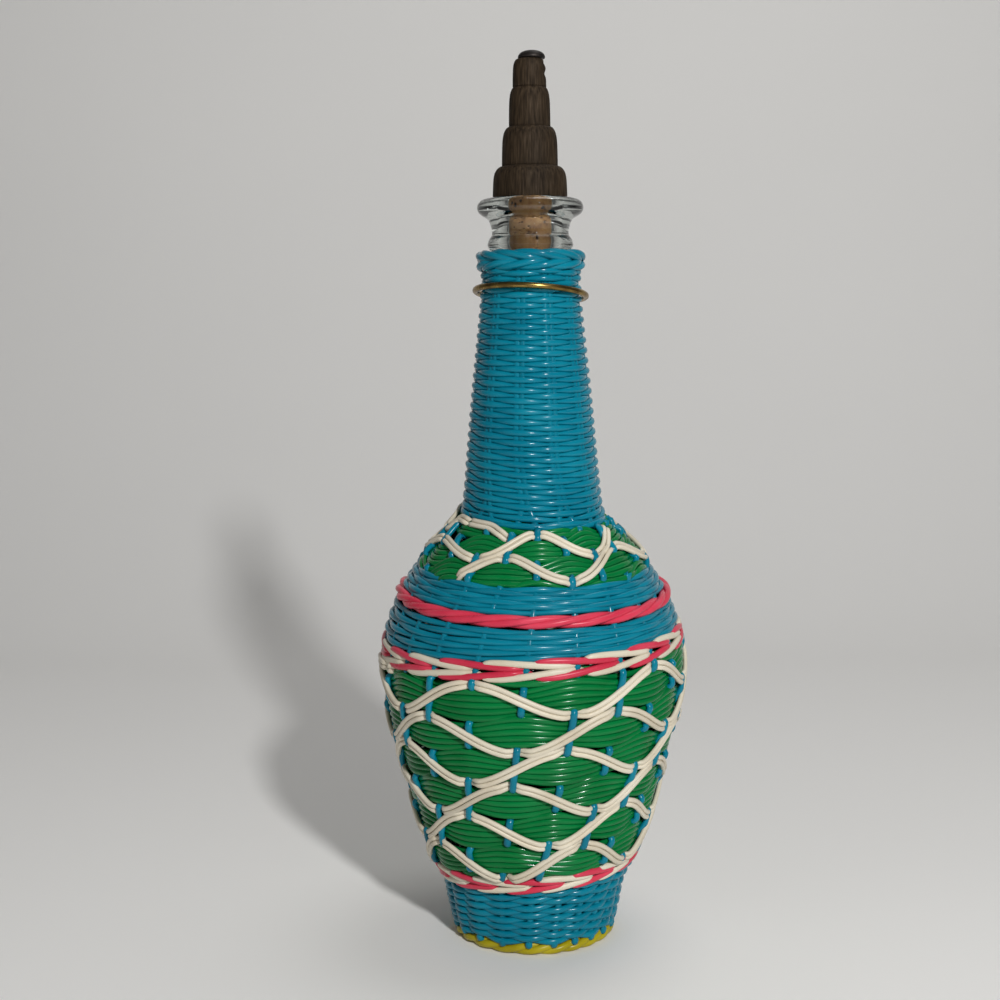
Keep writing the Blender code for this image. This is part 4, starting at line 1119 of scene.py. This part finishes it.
finial_line = [(0.0, FINIAL_FOOT)]
tier_foot = FINIAL_FOOT
for radius, height in zip(TIER_RADII, TIER_HEIGHTS):
    tier = [(radius * share, tier_foot + height * level) for level, share in TIER_SHAPE]
    tier.append((radius * TIER_TOP_SHARE, tier_foot + height))
    finial_line += [tuple(point) for point in flowing(tier, TIER_STEPS)]
    tier_foot += height
finial_line.append((0.0, tier_foot))
fine_line = []
for start, end in zip(finial_line, finial_line[1:]):
    steps = max(1, round(math.dist(start, end) / FINIAL_SPACING))
    for step in range(steps):
        t = step / steps
        fine_line.append((start[0] + (end[0] - start[0]) * t, start[1] + (end[1] - start[1]) * t))
fine_line.append(finial_line[-1])
finial_vertices, finial_faces = turned(fine_line, FINIAL_STEPS)
finial_vertices = np.array(finial_vertices)
finial_angle = np.arctan2(finial_vertices[:, 0], -finial_vertices[:, 1])
finial_reach = np.hypot(finial_vertices[:, 0], finial_vertices[:, 1])
cut = np.zeros(len(finial_vertices))
for chip_height, chip_depth, chip_size in CHIPS:
    turn_off = (finial_angle - CHIP_ANGLE + math.pi) % FULL_TURN - math.pi
    along_edge = turn_off * TIER_RADII[-1] / CHIP_LENGTHEN
    away = np.hypot(along_edge, finial_vertices[:, 2] - chip_height) / chip_size
    cut = np.maximum(cut, chip_depth * np.exp(-away * away))
ridges = sum(depth * np.sin(finial_angle * waves + start) for depth, waves, start in GRAIN_RIDGES)
outer = finial_reach > RIDGES_FROM
scale = 1 - (cut[outer] + ridges[outer]) / finial_reach[outer]
finial_vertices[outer, :2] *= scale[:, None]
new_piece(
    "turned_walnut_finial", finial_vertices, finial_faces, dark_walnut(), "stopper",
    ("wooden_finial",),
)

# Tip cap: a small domed nail head of dark iron, set into the finial's tip a little off to the
# right, with a short straight rim.
CAP_SHIFT = 0.0009
CAP_STEPS = 64
CAP_LEVELS = 14
CAP_RIM = 0.12
CAP_DOME = 0.88
CAP_FOOT_SHARE = 0.96
CAP_FLATNESS = 0.8
IRON_TONES = ((0.3, (0.012, 0.010, 0.009)), (0.7, (0.05, 0.04, 0.035)))
IRON_METALLIC = 0.7
IRON_RUST = 300.0
IRON_ROUGHNESS = (0.6, 0.4)
IRON_RELIEF = (0.3, 0.0003)


def dark_iron():
    """Dark iron, dulled by rust."""
    material, nodes, links, surface = new_finish("dark_iron")
    surface.inputs["Metallic"].default_value = IRON_METALLIC
    rust = mottling(nodes, links, IRON_RUST, 5.0)
    links.new(tones(nodes, links, rust, *IRON_TONES), surface.inputs["Base Color"])
    links.new(uneven(nodes, links, rust, *IRON_ROUGHNESS), surface.inputs["Roughness"])
    rough_skin(nodes, links, surface, rust, *IRON_RELIEF)
    return material


cap_low, cap_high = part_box("finial_tip_cap")
cap_radius = cap_high.x
cap_height = cap_high.z - cap_low.z
cap_line = [
    (0.0, cap_low.z), (cap_radius * CAP_FOOT_SHARE, cap_low.z),
    (cap_radius, cap_low.z + cap_height * CAP_RIM),
]
for share in np.linspace(0.0, 1.0, CAP_LEVELS)[1:-1]:
    cap_line.append((
        cap_radius * math.cos(share * math.pi / 2) ** CAP_FLATNESS,
        cap_low.z + cap_height * (CAP_RIM + CAP_DOME * math.sin(share * math.pi / 2)),
    ))
cap_line.append((0.0, cap_high.z))
cap_vertices, cap_faces = turned(cap_line, CAP_STEPS)
cap_vertices = np.array(cap_vertices)
cap_vertices[:, 0] += CAP_SHIFT
new_piece("domed_tip_cap", cap_vertices, cap_faces, dark_iron(), "stopper", ("finial_tip_cap",))

# Studio: a sheet of pale matt paper that lies flat under the bottle and sweeps up behind it
# without a crease.
FLOOR_HALF = 2.0
SWEEP_START = 0.55
SWEEP_RADIUS = 0.5
SWEEP_STEPS = 24
BACK_TOP = 2.4
PAPER_TONES = ((0.3, (0.86, 0.85, 0.83)), (0.7, (0.88, 0.87, 0.85)))
PAPER_CLOUDS = 2.0
PAPER_ROUGHNESS = 0.9
PAPER_SPECULAR = 0.15


def studio_paper():
    """Pale matt paper, with the slightest change of tone across it."""
    material, nodes, links, surface = new_finish("studio_paper")
    clouds = mottling(nodes, links, PAPER_CLOUDS, 2.0)
    links.new(tones(nodes, links, clouds, *PAPER_TONES), surface.inputs["Base Color"])
    surface.inputs["Roughness"].default_value = PAPER_ROUGHNESS
    surface.inputs["Specular IOR Level"].default_value = PAPER_SPECULAR
    return material


sweep = [(-FLOOR_HALF, 0.0), (SWEEP_START, 0.0)]
for share in np.linspace(0.0, 1.0, SWEEP_STEPS)[1:]:
    bend = share * math.pi / 2
    sweep.append((SWEEP_START + SWEEP_RADIUS * math.sin(bend), SWEEP_RADIUS * (1 - math.cos(bend))))
sweep.append((SWEEP_START + SWEEP_RADIUS, BACK_TOP))
stage_vertices = []
for depth, height in sweep:
    stage_vertices.append((-FLOOR_HALF, depth, height))
    stage_vertices.append((FLOOR_HALF, depth, height))
stage_faces = [(2 * i, 2 * i + 1, 2 * i + 3, 2 * i + 2) for i in range(len(sweep) - 1)]
backdrop = new_piece("studio_sweep", stage_vertices, stage_faces, studio_paper())

# Light and camera: a small bright lamp at the right, two wide dim ones that soften its shadows,
# and a pale surround. The camera stands a little above the neck and looks down.
LAMPS = (
    ("key_lamp", (0.42, -1.30, 0.85), 0.11, 18.0),
    ("fill_lamp", (-1.10, -0.85, 0.60), 0.80, 0.6),
    ("top_lamp", (0.30, 0.20, 1.50), 0.80, 4.0),
)
LAMP_AIM = (0.0, 0.0, 0.19)
CAMERA_PLACE = (-0.0139, -0.6738, 0.2685)
CAMERA_TILT = math.radians(6.4)
CAMERA_ROLL = math.radians(-0.45)
CAMERA_LENS = 55.8
SENSOR_WIDTH = 36.0
NEAREST = 0.01
SURROUND = 0.10

for lamp_name, place, size, power in LAMPS:
    lamp = bpy.data.lights.new(lamp_name, "AREA")
    lamp.shape = "DISK"
    lamp.size = size
    lamp.energy = power
    holder = bpy.data.objects.new(lamp_name, lamp)
    holder.location = place
    holder.rotation_euler = (Vector(LAMP_AIM) - Vector(place)).to_track_quat("-Z", "Y").to_euler()
    bpy.context.scene.collection.objects.link(holder)

world = bpy.data.worlds.new("pale_surround")
world.use_nodes = True
world.node_tree.nodes["Background"].inputs["Color"].default_value = (1.0, 1.0, 1.0, 1.0)
world.node_tree.nodes["Background"].inputs["Strength"].default_value = SURROUND
bpy.context.scene.world = world

camera_data = bpy.data.cameras.new("photograph_camera")
camera_data.lens = CAMERA_LENS
camera_data.sensor_width = SENSOR_WIDTH
camera_data.clip_start = NEAREST
camera = bpy.data.objects.new("photograph_camera", camera_data)
camera.matrix_world = (
    Matrix.Translation(CAMERA_PLACE)
    @ Matrix.Rotation(math.pi / 2 - CAMERA_TILT, 4, "X")
    @ Matrix.Rotation(CAMERA_ROLL, 4, "Z")
)
bpy.context.scene.collection.objects.link(camera)
bpy.context.scene.camera = camera
bpy.context.scene.view_settings.view_transform = "Standard"

bpy.context.view_layer.update()
